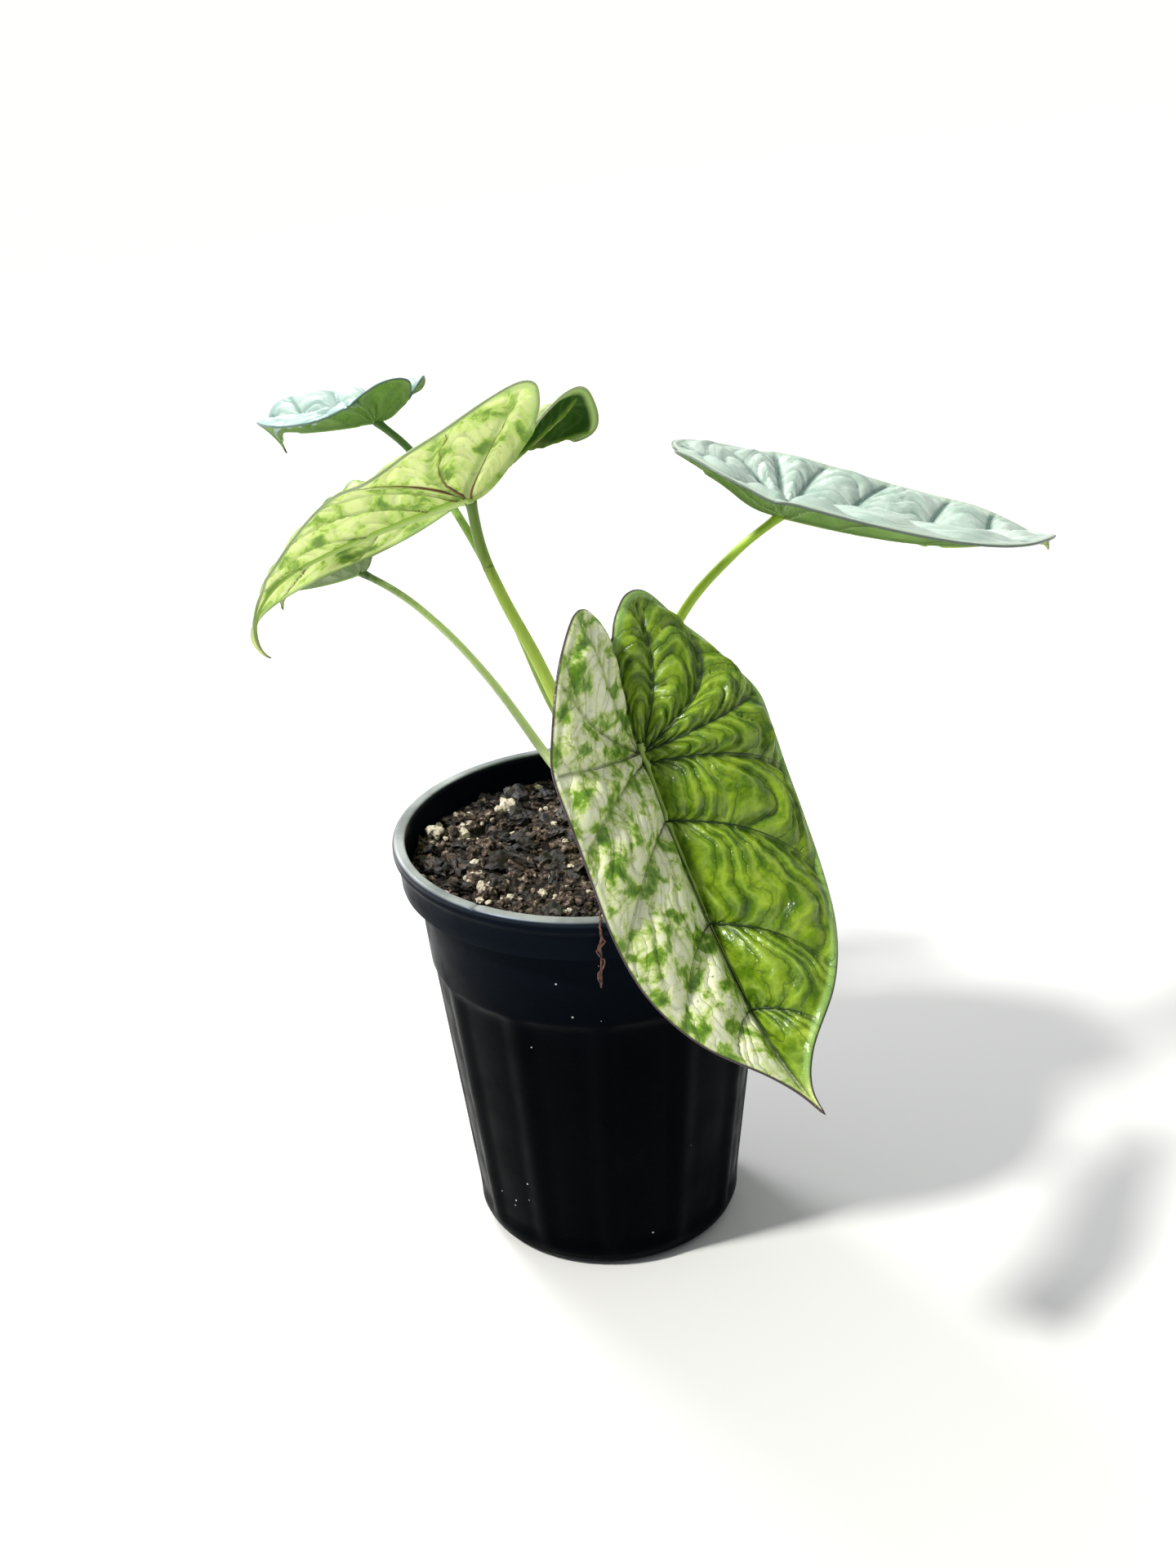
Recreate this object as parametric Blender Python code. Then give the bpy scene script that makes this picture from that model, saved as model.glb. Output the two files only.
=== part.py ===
"""Potted alocasia: five cupped, quilted leaves on their stems, a crown in the soil, and a fluted nursery pot.

Metres, +Z up, origin at the middle of the pot's foot. The plant is seen from the -Y side.
Sizes below are in millimetres and degrees, as they would be measured on the plant.
"""

import math

import bmesh
import bpy
import numpy as np
from mathutils import Euler, Matrix, Vector

MM = 0.001
GAP = 0.3  # between two pieces that touch

# Pot: a tapered wall with twelve flutes, a smooth collar and a rolled rim
RIM_RADIUS = 60.0
POT_HEIGHT = 132.0
FOOT_RADIUS = 40.6
FOOT_ROUND = 4.0
COLLAR_FROM = 93.0
COLLAR_RADIUS = 51.0
SKIRT_FROM = 118.6
SKIRT_RADIUS = 58.0
NECK_RADIUS = 53.4
WALL = 1.9
FLOOR = 1.8
FLUTES = 12
FLUTE_DEPTH = 1.1
FLUTE_FROM = 7.0
POT_SIDES = 72
DRAIN_HOLES = 6
DRAIN_RADIUS = 3.5
DRAIN_CIRCLE = 27.0
DRAIN_TURN = 0.04

# Soil and crown
SOIL_TOP = 122.0
SOIL_SIDES = 48
SOIL_RINGS = 11
LUMP_HEIGHT = 1.6
CROWN_RADIUS = 9.0
CROWN_TOP = 126.0
CROWN_FOOT = 98.0
CROWN_X = 7.0
CROWN_Y = 1.0

# Leaf outline for one half, from the drip tip round the lobe to the notch, as shares of the length from the
# stem to the tip: distance along the midrib, then distance from it
OUTLINE = (
    (1.0, 0.0),
    (0.93, 0.022),
    (0.86, 0.075),
    (0.74, 0.195),
    (0.58, 0.285),
    (0.40, 0.335),
    (0.20, 0.362),
    (0.0, 0.372),
    (-0.14, 0.345),
    (-0.27, 0.27),
    (-0.36, 0.16),
    (-0.375, 0.085),
    (-0.335, 0.03),
    (-0.28, 0.0),
)
HALF_WIDTH = 0.37
LOBE_REACH = 0.4

# Side veins of one half: where each leaves the midrib, then where it meets the margin
VEINS = (
    ((0.0, 0.0), (-0.34, 0.11)),
    ((0.0, 0.0), (-0.24, 0.27)),
    ((0.0, 0.0), (-0.04, 0.365)),
    ((0.03, 0.0), (0.17, 0.36)),
    ((0.18, 0.0), (0.44, 0.32)),
    ((0.45, 0.0), (0.68, 0.23)),
    ((0.68, 0.0), (0.80, 0.13)),
)
BLADE = 0.9  # thickness
QUILT = 2.0  # how far the panels between the veins stand up
QUILT_SPREAD = 5.0  # how far from a vein a panel reaches its height

# Each leaf hangs from where its stem meets it. Its left half lies on the local +Y side.
#   colour    of the whole blade, as it looks from the front
#   at        where the stem meets the blade
#   turn      roll, pitch and yaw of the blade there
#   reach     from the stem to the drip tip, along the midrib
#   wide      width of the left and right halves against the outline's
#   arch      fall of the midrib: even, growing towards the tip, and the hook of the drip tip
#   lobe      rise of the lobes: at the stem, and towards their ends
#   sway      sideways turn of the midrib: even, and growing towards the tip
#   left, right  how steeply a half rises beside the midrib, at its margin, and what the lobe and tip add
LEAVES = {
    "front": dict(
        colour="#A9C463",
        at=(13.7, -65.9, 185.6), turn=(-3, 64, -48), reach=108.9, wide=(1.05, 1.03), arch=(-18, -27, -4),
        lobe=(-26, 32), sway=(-4, -10), twist=-8, left=(66, -19, -46, 13), right=(29, 1, -1, -26),
        half_points=36, rings=10, stem=(5.6, 3.4), root=(9.2, -5.2),
        way=((11.0, -17.0, 137.0), (12.5, -38.0, 160.0)),
    ),
    "centre": dict(
        colour="#C9E27F",
        at=(-28.7, -15.5, 241.5), turn=(36, 23, 121), reach=121.3, wide=(0.84, 1.01), arch=(21, 53, 96),
        lobe=(-38, -11), sway=(17, 32), twist=-2, left=(-6, -44, -15, -24), right=(78, 44, -26, -50),
        half_points=28, rings=8, stem=(5.6, 3.0), root=(2.4, -2.4),
        way=((-1.6, -5.5, 155.0), (-12.6, -8.7, 188.1), (-22.7, -11.7, 212.9), (-26.6, -13.0, 225.0)),
    ),
    "upper": dict(
        colour="#D3E0BC",
        at=(-59.9, 66.0, 241.0), turn=(-14, 13, 156), reach=55.6, wide=(0.95, 0.87), arch=(10, -2, 90),
        lobe=(-38, 20), sway=(-28, -19), twist=-65, left=(81, -4, 0, 36), right=(74, -96, -31, 0),
        half_points=22, rings=6, stem=(3.7, 2.4), root=(6.2, 7.0),
        way=((-11.7, 31.6, 161.9), (-21.8, 44.3, 184.3), (-38.1, 57.2, 215.4), (-50.0, 63.0, 232.0)),
    ),
    "lower": dict(
        colour="#9DB67A",
        at=(-68.9, 66.0, 192.5), turn=(-6, 26, 135), reach=49.7, wide=(1.0, 1.0), arch=(-13, 3, 68),
        lobe=(-36, -1), sway=(0, 1), twist=-3, left=(48, 20, 0, 8), right=(53, 21, 0, 20),
        half_points=22, rings=6, stem=(3.7, 2.3), root=(1.2, 4.2),
        way=((-12.0, 24.1, 143.2), (-33.4, 47.5, 166.5), (-49.1, 57.6, 180.6), (-58.0, 62.0, 186.6)),
    ),
    "right": dict(
        colour="#D5E2D3",
        at=(58.7, 10.1, 223.6), turn=(-3, 17, -4), reach=97.4, wide=(0.99, 1.0), arch=(-6, -21, 59),
        lobe=(-40, 38), sway=(24, 32), twist=4, left=(18, 11, -13, -8), right=(37, 3, -11, -3),
        half_points=28, rings=8, stem=(4.2, 2.6), root=(12.8, 2.0),
        way=((13.2, 3.8, 153.9), (28.2, 6.8, 193.8), (45.1, 8.7, 213.1)),
    ),
}

# A dried rootlet hooked over the rim: radius and the places that it passes, outwards and down the skirt
ROOTLET_ANGLE = -89.0
ROOTLET_RADIUS = 0.55


def material(name, colour, roughness, metallic=0.0):
    """A plain principled material; colour is sRGB hex."""
    rgb = [int(colour[i : i + 2], 16) / 255 for i in (1, 3, 5)]
    linear = [c / 12.92 if c <= 0.04045 else ((c + 0.055) / 1.055) ** 2.4 for c in rgb]
    made = bpy.data.materials.new(name)
    made.use_nodes = True
    shader = made.node_tree.nodes["Principled BSDF"]
    shader.inputs["Base Color"].default_value = (*linear, 1.0)
    shader.inputs["Roughness"].default_value = roughness
    shader.inputs["Metallic"].default_value = metallic
    return made


def link(name, data, made):
    """A named object in the scene that holds the mesh or curve, in its material."""
    data.materials.append(made)
    thing = bpy.data.objects.new(name, data)
    bpy.context.scene.collection.objects.link(thing)
    return thing


def mesh_of(name, points, faces):
    """A mesh from points in millimetres, with its faces turned outwards."""
    mesh = bpy.data.meshes.new(name)
    mesh.from_pydata([Vector(p) * MM for p in points], [], faces)
    work = bmesh.new()
    work.from_mesh(mesh)
    bmesh.ops.recalc_face_normals(work, faces=work.faces)
    work.to_mesh(mesh)
    work.free()
    mesh.shade_smooth()
    return mesh


def turned(rings, sides, radius_at):
    """Points and faces of a closed body of rings, with a pole at each end."""
    points = [(0.0, 0.0, rings[0][1])]
    for radius, height in rings[1:-1]:
        for k in range(sides):
            angle = 2 * math.pi * k / sides
            r = radius_at(radius, height, angle)
            points.append((r * math.sin(angle), -r * math.cos(angle), height))
    points.append((0.0, 0.0, rings[-1][1]))
    last, loops = len(points) - 1, len(rings) - 2
    faces = []
    for k in range(sides):
        k2 = (k + 1) % sides
        faces.append((0, 1 + k2, 1 + k))
        for ring in range(loops - 1):
            a, b = 1 + ring * sides, 1 + (ring + 1) * sides
            faces.append((a + k, a + k2, b + k2, b + k))
        top = 1 + (loops - 1) * sides
        faces.append((top + k, top + k2, last))
    return points, faces


def smooth(x):
    """A soft step from 0 to 1."""
    x = np.clip(x, 0.0, 1.0)
    return x * x * (3 - 2 * x)


def wall_radius(height):
    """Outer radius of the tapered wall below the skirt."""
    if height < COLLAR_FROM:
        return FOOT_RADIUS + (COLLAR_RADIUS - FOOT_RADIUS) * height / COLLAR_FROM
    share = (height - COLLAR_FROM) / (SKIRT_FROM - COLLAR_FROM)
    return COLLAR_RADIUS + (NECK_RADIUS - COLLAR_RADIUS) * share


def fluted(radius, height, angle):
    """The wall's radius with the flutes sunk between twelve narrow ribs; the inside stays plain."""
    if not FLUTE_FROM < height < COLLAR_FROM or radius < wall_radius(height) - 0.1:
        return radius
    rib = max(0.0, math.cos(FLUTES * angle)) ** 2
    return radius - FLUTE_DEPTH * (1 - rib)


def make_pot():
    """The pot as one turned body, with drain holes cut in its floor between the middle and the foot."""
    inner_rim = RIM_RADIUS - 3.8
    inner_top = wall_radius(SKIRT_FROM) - WALL
    rounding = [
        (FOOT_RADIUS - FOOT_ROUND * (1 - math.sin(t)), FOOT_ROUND * (1 - math.cos(t)))
        for t in (0.0, math.pi / 6, math.pi / 3, math.pi / 2)
    ]
    flute_end = COLLAR_FROM - 2.0
    rings = [
        (0.0, 0.0),
        *rounding,
        (wall_radius(FLUTE_FROM), FLUTE_FROM),
        (wall_radius(FLUTE_FROM + 2.5), FLUTE_FROM + 2.5),
        (wall_radius(flute_end), flute_end),
        (COLLAR_RADIUS + 0.1, COLLAR_FROM),
        (NECK_RADIUS, SKIRT_FROM),
        (SKIRT_RADIUS, SKIRT_FROM),
        (SKIRT_RADIUS + 0.7, POT_HEIGHT - 5.0),
        (RIM_RADIUS - 0.3, POT_HEIGHT - 3.4),
        (RIM_RADIUS, POT_HEIGHT - 1.4),
        (RIM_RADIUS - 0.9, POT_HEIGHT),
        (inner_rim + 0.6, POT_HEIGHT),
        (inner_rim, POT_HEIGHT - 0.8),
        (inner_rim - 0.6, SKIRT_FROM + WALL + 0.3),
        (inner_top, SKIRT_FROM + WALL - 0.8),
        (FOOT_RADIUS - WALL, FOOT_ROUND + 1.0),
        (FOOT_RADIUS - FOOT_ROUND, FLOOR),
        (0.0, FLOOR),
    ]
    points, faces = turned(rings, POT_SIDES, fluted)
    pot = link("pot", mesh_of("pot", points, faces), material("black polypropylene", "#14181C", 0.42))
    for k in range(DRAIN_HOLES):
        angle = math.pi * (2 * k + 1) / DRAIN_HOLES + DRAIN_TURN
        work = bmesh.new()
        bmesh.ops.create_cone(
            work, cap_ends=True, segments=12, radius1=DRAIN_RADIUS * MM, radius2=DRAIN_RADIUS * MM,
            depth=3 * FLOOR * MM,
        )
        mesh = bpy.data.meshes.new("drain_cutter")
        work.to_mesh(mesh)
        work.free()
        cutter = bpy.data.objects.new("drain_cutter", mesh)
        bpy.context.scene.collection.objects.link(cutter)
        place = Vector((math.sin(angle), math.cos(angle), 0)) * DRAIN_CIRCLE
        cutter.location = (place + Vector((0, 0, FLOOR / 2))) * MM
        cutter.hide_render = True
        cutter.display_type = "WIRE"
        cut = pot.modifiers.new("Drain hole", "BOOLEAN")
        cut.operation = "DIFFERENCE"
        cut.object = cutter
    return pot


def lump(x, y):
    """Height of the loose mix above its mean level: clods, chips and perlite grains."""
    rolling = math.sin(0.19 * x + 1.3) * math.cos(0.23 * y - 0.4) + 0.6 * math.sin(0.41 * x - 0.33 * y)
    crumbs = math.sin(1.07 * x + 0.9 * math.sin(0.8 * y)) * math.cos(0.93 * y + 1.1 * math.sin(0.7 * x))
    return LUMP_HEIGHT * (0.45 * rolling + 0.55 * crumbs)


def make_soil():
    """The filling of the pot, down to the floor, with a lumpy top and a plain round hole for the crown."""
    hole = CROWN_RADIUS + GAP
    floor = FLOOR + GAP
    inner_rim = RIM_RADIUS - 3.8 - 0.6 - GAP
    inner_top = wall_radius(SKIRT_FROM) - WALL - GAP
    pad = CROWN_RADIUS + 3.0
    ledge = SKIRT_FROM + WALL
    rings = [(0.0, floor), (FOOT_RADIUS - FOOT_ROUND - GAP, floor)]
    rings += [(FOOT_RADIUS - WALL - GAP - 0.1, FOOT_ROUND + 1.2), (inner_top, ledge - 0.5)]
    rings += [(inner_rim - 0.1, ledge + 0.7), (inner_rim, SOIL_TOP)]
    edge = len(rings)
    for k in range(1, SOIL_RINGS + 1):
        rings.append((inner_rim - 0.4 - (inner_rim - 0.4 - pad) * k / SOIL_RINGS, SOIL_TOP))
    top = len(rings)
    rings += [(hole, SOIL_TOP), (hole, CROWN_FOOT - GAP), (0.0, CROWN_FOOT - GAP)]
    points, faces = turned(rings, SOIL_SIDES, lambda radius, height, angle: radius)
    raised = []
    for index, (x, y, z) in enumerate(points):
        ring = 1 + (index - 1) // SOIL_SIDES
        aside = min(1.0, max(0.0, (ring - edge + 1) / (top - edge)))
        x, y = x + CROWN_X * aside, y + CROWN_Y * aside
        if edge <= ring < top - 1:
            z += lump(x, y)
        raised.append((x, y, z))
    return link("soil", mesh_of("soil", raised, faces), material("potting mix", "#3B2C27", 0.95))


def make_crown():
    """The short stem that the leaves grow from: a ringed stump, its root end in the soil."""
    rings = [
        (0.0, CROWN_FOOT),
        (CROWN_RADIUS * 0.72, CROWN_FOOT),
        (CROWN_RADIUS, CROWN_FOOT + 5.0),
        (CROWN_RADIUS, SOIL_TOP + 0.4),
        (CROWN_RADIUS + 0.5, SOIL_TOP + 1.6),
        (CROWN_RADIUS, SOIL_TOP + 3.0),
        (CROWN_RADIUS - 0.2, CROWN_TOP),
        (0.0, CROWN_TOP),
    ]

    def ridged(radius, height, angle):
        return radius - 0.5 * abs(math.sin(2.5 * angle)) if height > SOIL_TOP + 2.0 else radius

    points, faces = turned(rings, 24, ridged)
    points = [(x + CROWN_X, y + CROWN_Y, z) for x, y, z in points]
    return link("crown", mesh_of("crown", points, faces), material("crown sheath", "#8E9B5A", 0.6))


def outline_points(count):
    """The half outline as count points, evenly spaced along a smooth curve through OUTLINE."""
    keys = np.array(OUTLINE)
    keys = np.vstack([2 * keys[0] - keys[1], keys, 2 * keys[-1] - keys[-2]])
    fine = []
    for a, b, c, d in zip(keys, keys[1:], keys[2:], keys[3:]):
        for t in np.arange(0.0, 1.0, 0.1):
            even = (c - a) * t + (2 * a - 5 * b + 4 * c - d) * t**2 + (3 * b - a - 3 * c + d) * t**3
            fine.append(b + 0.5 * even)
    fine.append(keys[-2])
    fine = np.array(fine)
    run = np.concatenate([[0.0], np.cumsum(np.linalg.norm(np.diff(fine, axis=0), axis=1))])
    wanted = np.linspace(0.0, run[-1], count)
    return np.stack([np.interp(wanted, run, fine[:, k]) for k in (0, 1)], axis=1)


def vein_distance(along, across, reach):
    """Distance in millimetres from points of the flat blade to the nearest vein, midrib or margin."""
    best = np.abs(across) * reach
    for start, end in VEINS:
        start, end = np.array(start), np.array(end)
        bend = start + (end - start) * (0.22, 0.62)
        for t in np.linspace(0.0, 1.0, 21):
            spot = (1 - t) ** 2 * start + 2 * t * (1 - t) * bend + t**2 * end
            best = np.minimum(best, np.hypot(along - spot[0], np.abs(across) - spot[1]) * reach)
    return best


def midrib(leaf):
    """Places and frames along the midrib, from the lobes' side to the tip."""
    lobes = np.linspace(-LOBE_REACH - 0.05, 0.0, 46)[:-1]
    share = np.concatenate([lobes, np.linspace(0.0, 1.0, 101)])
    ahead, behind = np.clip(share, 0, 1), np.clip(-share, 0, 1) / LOBE_REACH
    even, growing, hook = leaf["arch"]
    fall = even * ahead + growing * ahead**3 + hook * np.clip((ahead - 0.68) / 0.32, 0, 1) ** 1.5
    fall = np.radians(fall - leaf["lobe"][1] * behind - leaf["lobe"][0] * smooth(2.5 * behind))
    aside = np.radians(leaf["sway"][0] * ahead + leaf["sway"][1] * ahead**2)
    twist = np.radians(leaf["twist"] * ahead)[:, None]
    heading = np.stack([np.cos(aside), np.sin(aside), 0 * aside], axis=1)
    up = np.array([0.0, 0.0, 1.0])
    tangent = heading * np.cos(fall)[:, None] - up * np.sin(fall)[:, None]
    normal = heading * np.sin(fall)[:, None] + up * np.cos(fall)[:, None]
    side = np.cross(normal, tangent)
    side = side * np.cos(twist) + normal * np.sin(twist)
    steps = (tangent[1:] + tangent[:-1]) / 2 * np.diff(share)[:, None] * leaf["reach"]
    points = np.vstack([[0.0, 0.0, 0.0], np.cumsum(steps, axis=0)])
    points -= points[len(lobes)]
    return share, points, tangent, side


def blade_surface(leaf, along, across):
    """Points of the blade's upper face, in millimetres from the stem, for shares along and across it."""
    share, points, tangent, side = midrib(leaf)

    def at(rows):
        return np.stack([np.interp(along, share, rows[:, k]) for k in range(3)], axis=1)

    spot, forward, outward = at(points), at(tangent), at(side)
    upward = np.cross(forward, outward)
    left = across > 0
    first, last, lobe, tip = (np.where(left, a, b) for a, b in zip(leaf["left"], leaf["right"]))
    more = lobe * smooth(-1.2 * along / LOBE_REACH) + tip * smooth(1.1 * along)
    start, end = np.radians(first + more), np.radians(last + more)
    width = HALF_WIDTH * leaf["reach"]
    curl = (end - start) / width
    curl = np.where(np.abs(curl) < 1e-6, 1e-6, curl)
    angle = start + curl * np.abs(across) * leaf["reach"]
    out = (np.sin(angle) - np.sin(start)) / curl * np.sign(across)
    rise = (np.cos(start) - np.cos(angle)) / curl
    return spot + outward * out[:, None] + upward * rise[:, None]


def make_leaf(name, leaf):
    """One blade: a sheet of rings round the stem's place, quilted between the veins, then thickened below."""
    half = outline_points(leaf["half_points"] + 1)
    loop = np.vstack([half * (1, leaf["wide"][0]), half[-2:0:-1] * (1, -leaf["wide"][1])])
    count, rings = len(loop), leaf["rings"]
    reaches = np.linspace(0.0, 1.0, rings + 1)[1:] ** 0.85
    flat = np.vstack([[[0.0, 0.0]], *[loop * r for r in reaches]])
    rim = np.concatenate([[1.0], *[np.full(count, 1 - r) for r in reaches]])
    spots = blade_surface(leaf, flat[:, 0], flat[:, 1])
    faces = []
    for k in range(count):
        k2 = (k + 1) % count
        faces.append((0, 1 + k, 1 + k2))
        for ring in range(rings - 1):
            a, b = 1 + ring * count, 1 + (ring + 1) * count
            if k < count // 2:
                faces += [(a + k, b + k, b + k2), (a + k, b + k2, a + k2)]
            else:
                faces += [(a + k, b + k, a + k2), (a + k2, b + k, b + k2)]
    corners = spots[np.array(faces)]
    facing = np.cross(corners[:, 1] - corners[:, 0], corners[:, 2] - corners[:, 0])
    normals = np.zeros_like(spots)
    for corner in range(3):
        np.add.at(normals, np.array(faces)[:, corner], facing)
    normals /= np.linalg.norm(normals, axis=1)[:, None]
    if normals[0, 2] < 0:
        normals, faces = -normals, [face[::-1] for face in faces]
    near = vein_distance(flat[:, 0], flat[:, 1], leaf["reach"])
    spread = QUILT_SPREAD * leaf["reach"] / LEAVES["front"]["reach"]
    height = QUILT * leaf["reach"] / LEAVES["front"]["reach"]
    quilt = height * (1 - np.exp(-((near / spread) ** 2))) * smooth(rim * 6) * smooth(near / 2)
    spots = spots + normals * quilt[:, None]
    mesh = bpy.data.meshes.new("leaf_" + name)
    mesh.from_pydata([Vector(p) * MM for p in spots], [], faces)
    mesh.shade_smooth()
    blade = link("leaf_" + name, mesh, material("leaf blade " + name, leaf["colour"], 0.45))
    thick = blade.modifiers.new("Blade thickness", "SOLIDIFY")
    thick.thickness = BLADE * MM
    thick.offset = -1.0
    blade.location = Vector(leaf["at"]) * MM
    blade.rotation_euler = Euler([math.radians(a) for a in leaf["turn"]])
    return blade


def make_stem(name, leaf):
    """A leaf stem: a tapering round stalk from the crown's top to just under its blade."""
    turn = Euler([math.radians(a) for a in leaf["turn"]]).to_matrix()
    down = turn @ Vector((0.0, 0.0, -1.0))
    blade_foot = Vector(leaf["at"])
    foot = Vector((*leaf["root"], CROWN_TOP + GAP))
    route = [foot, foot + Vector((0.0, 0.0, 5.0))]
    route += [Vector(p) for p in leaf["way"]]
    route += [blade_foot + down * 2.4, blade_foot + down * (BLADE + GAP + 0.1)]
    curve = bpy.data.curves.new("stem_" + name, "CURVE")
    curve.dimensions = "3D"
    curve.resolution_u = 4
    curve.bevel_depth = MM / 2
    curve.bevel_resolution = 2
    curve.use_fill_caps = True
    line = curve.splines.new("BEZIER")
    line.bezier_points.add(len(route) - 1)
    run = [0.0]
    for a, b in zip(route, route[1:]):
        run.append(run[-1] + (b - a).length)
    thick, thin = leaf["stem"]
    for point, spot, done in zip(line.bezier_points, route, run):
        point.co = spot * MM
        point.handle_left_type = point.handle_right_type = "AUTO"
        point.radius = thick + (thin - thick) * (done / run[-1]) ** 0.6
    line.bezier_points[0].handle_right_type = "VECTOR"
    line.bezier_points[-1].handle_left_type = "VECTOR"
    return link("stem_" + name, curve, material("leaf stem " + name, "#9DBB4E", 0.5))


def make_rootlet():
    """A dried rootlet that hooks over the rim at the front and hangs down the skirt, with a swollen end."""
    clear = ROOTLET_RADIUS + GAP
    route = [
        (RIM_RADIUS - 2.6, POT_HEIGHT + clear + 0.1, 0.0, 0.8),
        (RIM_RADIUS - 0.6, POT_HEIGHT + clear - 0.1, 0.0, 1.0),
        (RIM_RADIUS + clear + 0.1, POT_HEIGHT - 1.6, -0.3, 1.0),
        (RIM_RADIUS + clear + 0.2, POT_HEIGHT - 5.0, 0.2, 1.3),
        (RIM_RADIUS + clear - 0.2, POT_HEIGHT - 8.0, -0.9, 1.6),
        (RIM_RADIUS + clear - 0.5, POT_HEIGHT - 11.0, -0.3, 1.0),
        (RIM_RADIUS + clear - 0.8, POT_HEIGHT - 15.0, -0.5, 0.9),
        (RIM_RADIUS + clear - 1.6, POT_HEIGHT - 19.0, -1.0, 1.7),
        (RIM_RADIUS + clear - 2.2, POT_HEIGHT - 22.0, -0.7, 0.6),
    ]
    curve = bpy.data.curves.new("rootlet", "CURVE")
    curve.dimensions = "3D"
    curve.resolution_u = 3
    curve.bevel_depth = ROOTLET_RADIUS * MM
    curve.bevel_resolution = 1
    curve.use_fill_caps = True
    line = curve.splines.new("BEZIER")
    line.bezier_points.add(len(route) - 1)
    turn = Matrix.Rotation(math.radians(ROOTLET_ANGLE), 3, "Z")
    for point, (out, height, aside, thick) in zip(line.bezier_points, route):
        point.co = turn @ Vector((out, aside, height)) * MM
        point.handle_left_type = point.handle_right_type = "AUTO"
        point.radius = thick
    return link("rootlet", curve, material("dry root", "#5A3B33", 0.85))


for leftover in list(bpy.data.objects):
    bpy.data.objects.remove(leftover, do_unlink=True)

make_pot()
make_soil()
make_crown()
for leaf_name, leaf_sizes in LEAVES.items():
    make_leaf(leaf_name, leaf_sizes)
    make_stem(leaf_name, leaf_sizes)
make_rootlet()
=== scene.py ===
import math
import random

import bpy
import numpy as np
from mathutils import Euler, Matrix, Vector, noise
from mathutils.bvhtree import BVHTree
from mathutils.kdtree import KDTree


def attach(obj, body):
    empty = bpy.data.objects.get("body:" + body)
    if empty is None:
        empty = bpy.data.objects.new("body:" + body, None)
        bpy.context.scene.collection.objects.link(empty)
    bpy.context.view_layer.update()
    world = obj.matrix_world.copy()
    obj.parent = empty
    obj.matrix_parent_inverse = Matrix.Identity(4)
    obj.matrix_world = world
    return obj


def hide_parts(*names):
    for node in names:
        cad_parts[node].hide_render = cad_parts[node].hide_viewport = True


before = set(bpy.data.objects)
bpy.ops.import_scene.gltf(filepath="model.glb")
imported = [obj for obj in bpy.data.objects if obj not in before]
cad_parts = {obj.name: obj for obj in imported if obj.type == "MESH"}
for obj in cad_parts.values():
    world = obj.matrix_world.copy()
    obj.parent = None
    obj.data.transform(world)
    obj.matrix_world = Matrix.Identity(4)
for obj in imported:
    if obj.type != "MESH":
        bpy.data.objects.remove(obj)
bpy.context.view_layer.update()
mm = 0.001


def toLinear(hexColour):
    parts = [int(hexColour[i : i + 2], 16) / 255 for i in (1, 3, 5)]
    return tuple(c / 12.92 if c <= 0.04045 else ((c + 0.055) / 1.055) ** 2.4 for c in parts) + (1.0,)


def plug(tree, socket, value):
    # a socket takes a link from another node, a hex colour or a plain value
    if isinstance(value, bpy.types.NodeSocket):
        tree.links.new(value, socket)
    else:
        socket.default_value = toLinear(value) if isinstance(value, str) else value


def addNode(tree, kind, settings=None):
    # one node, with its settings by property or by socket
    node = tree.nodes.new(kind)
    for key, value in (settings or {}).items():
        if isinstance(key, str) and hasattr(node, key):
            setattr(node, key, value)
        else:
            plug(tree, node.inputs[key], value)
    return node


def objectPlace(tree):
    return addNode(tree, "ShaderNodeTexCoord").outputs["Object"]


def meshValue(tree, name, output="Fac"):
    # a value that the mesh carries at each vertex
    return addNode(tree, "ShaderNodeAttribute", {"attribute_name": name}).outputs[output]


def stretched(tree, place, scale):
    return addNode(tree, "ShaderNodeMapping", {"Scale": scale, "Vector": place}).outputs["Vector"]


def noiseOf(tree, place, scale, detail, rough=0.5, distortion=0.0):
    settings = {"Vector": place, "Scale": scale, "Detail": detail, "Roughness": rough, "Distortion": distortion}
    return addNode(tree, "ShaderNodeTexNoise", settings).outputs["Fac"]


def mathOf(tree, operation, *values):
    settings = {"operation": operation, **dict(enumerate(values))}
    return addNode(tree, "ShaderNodeMath", settings).outputs[0]


def rangeOf(tree, value, low=0.0, high=1.0, least=0.0, most=1.0, soft=False):
    # least where the value is low, most where it is high, and even or soft in between
    settings = {"From Min": low, "From Max": high, "To Min": least, "To Max": most, "Value": value}
    kind = "SMOOTHSTEP" if soft else "LINEAR"
    return addNode(tree, "ShaderNodeMapRange", {"interpolation_type": kind, **settings}).outputs["Result"]


def rampOf(tree, value, stops):
    node = addNode(tree, "ShaderNodeValToRGB", {"Fac": value})
    elements = node.color_ramp.elements
    while len(elements) < len(stops):
        elements.new(0.5)
    for element, (place, colour) in zip(elements, stops):
        element.position = place
        element.color = toLinear(colour)
    return node.outputs["Color"]


def mixOf(tree, share, colour, other, blend="MIX"):
    # the share of the other colour, laid over the first
    settings = {"data_type": "RGBA", "blend_type": blend, 0: share, 6: colour, 7: other}
    return addNode(tree, "ShaderNodeMix", settings).outputs[2]


def bumpOf(tree, height, strength, distance, **below):
    settings = {"Height": height, "Strength": strength, "Distance": distance, **below}
    return addNode(tree, "ShaderNodeBump", settings).outputs["Normal"]


def newMaterial(name):
    made = bpy.data.materials.new(name)
    made.use_nodes = True
    return made, made.node_tree


def dress(tree, settings):
    # the sockets of the surface shader
    shader = tree.nodes["Principled BSDF"]
    for key, value in settings.items():
        plug(tree, shader.inputs[key], value)
    return shader.outputs[0]


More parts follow.
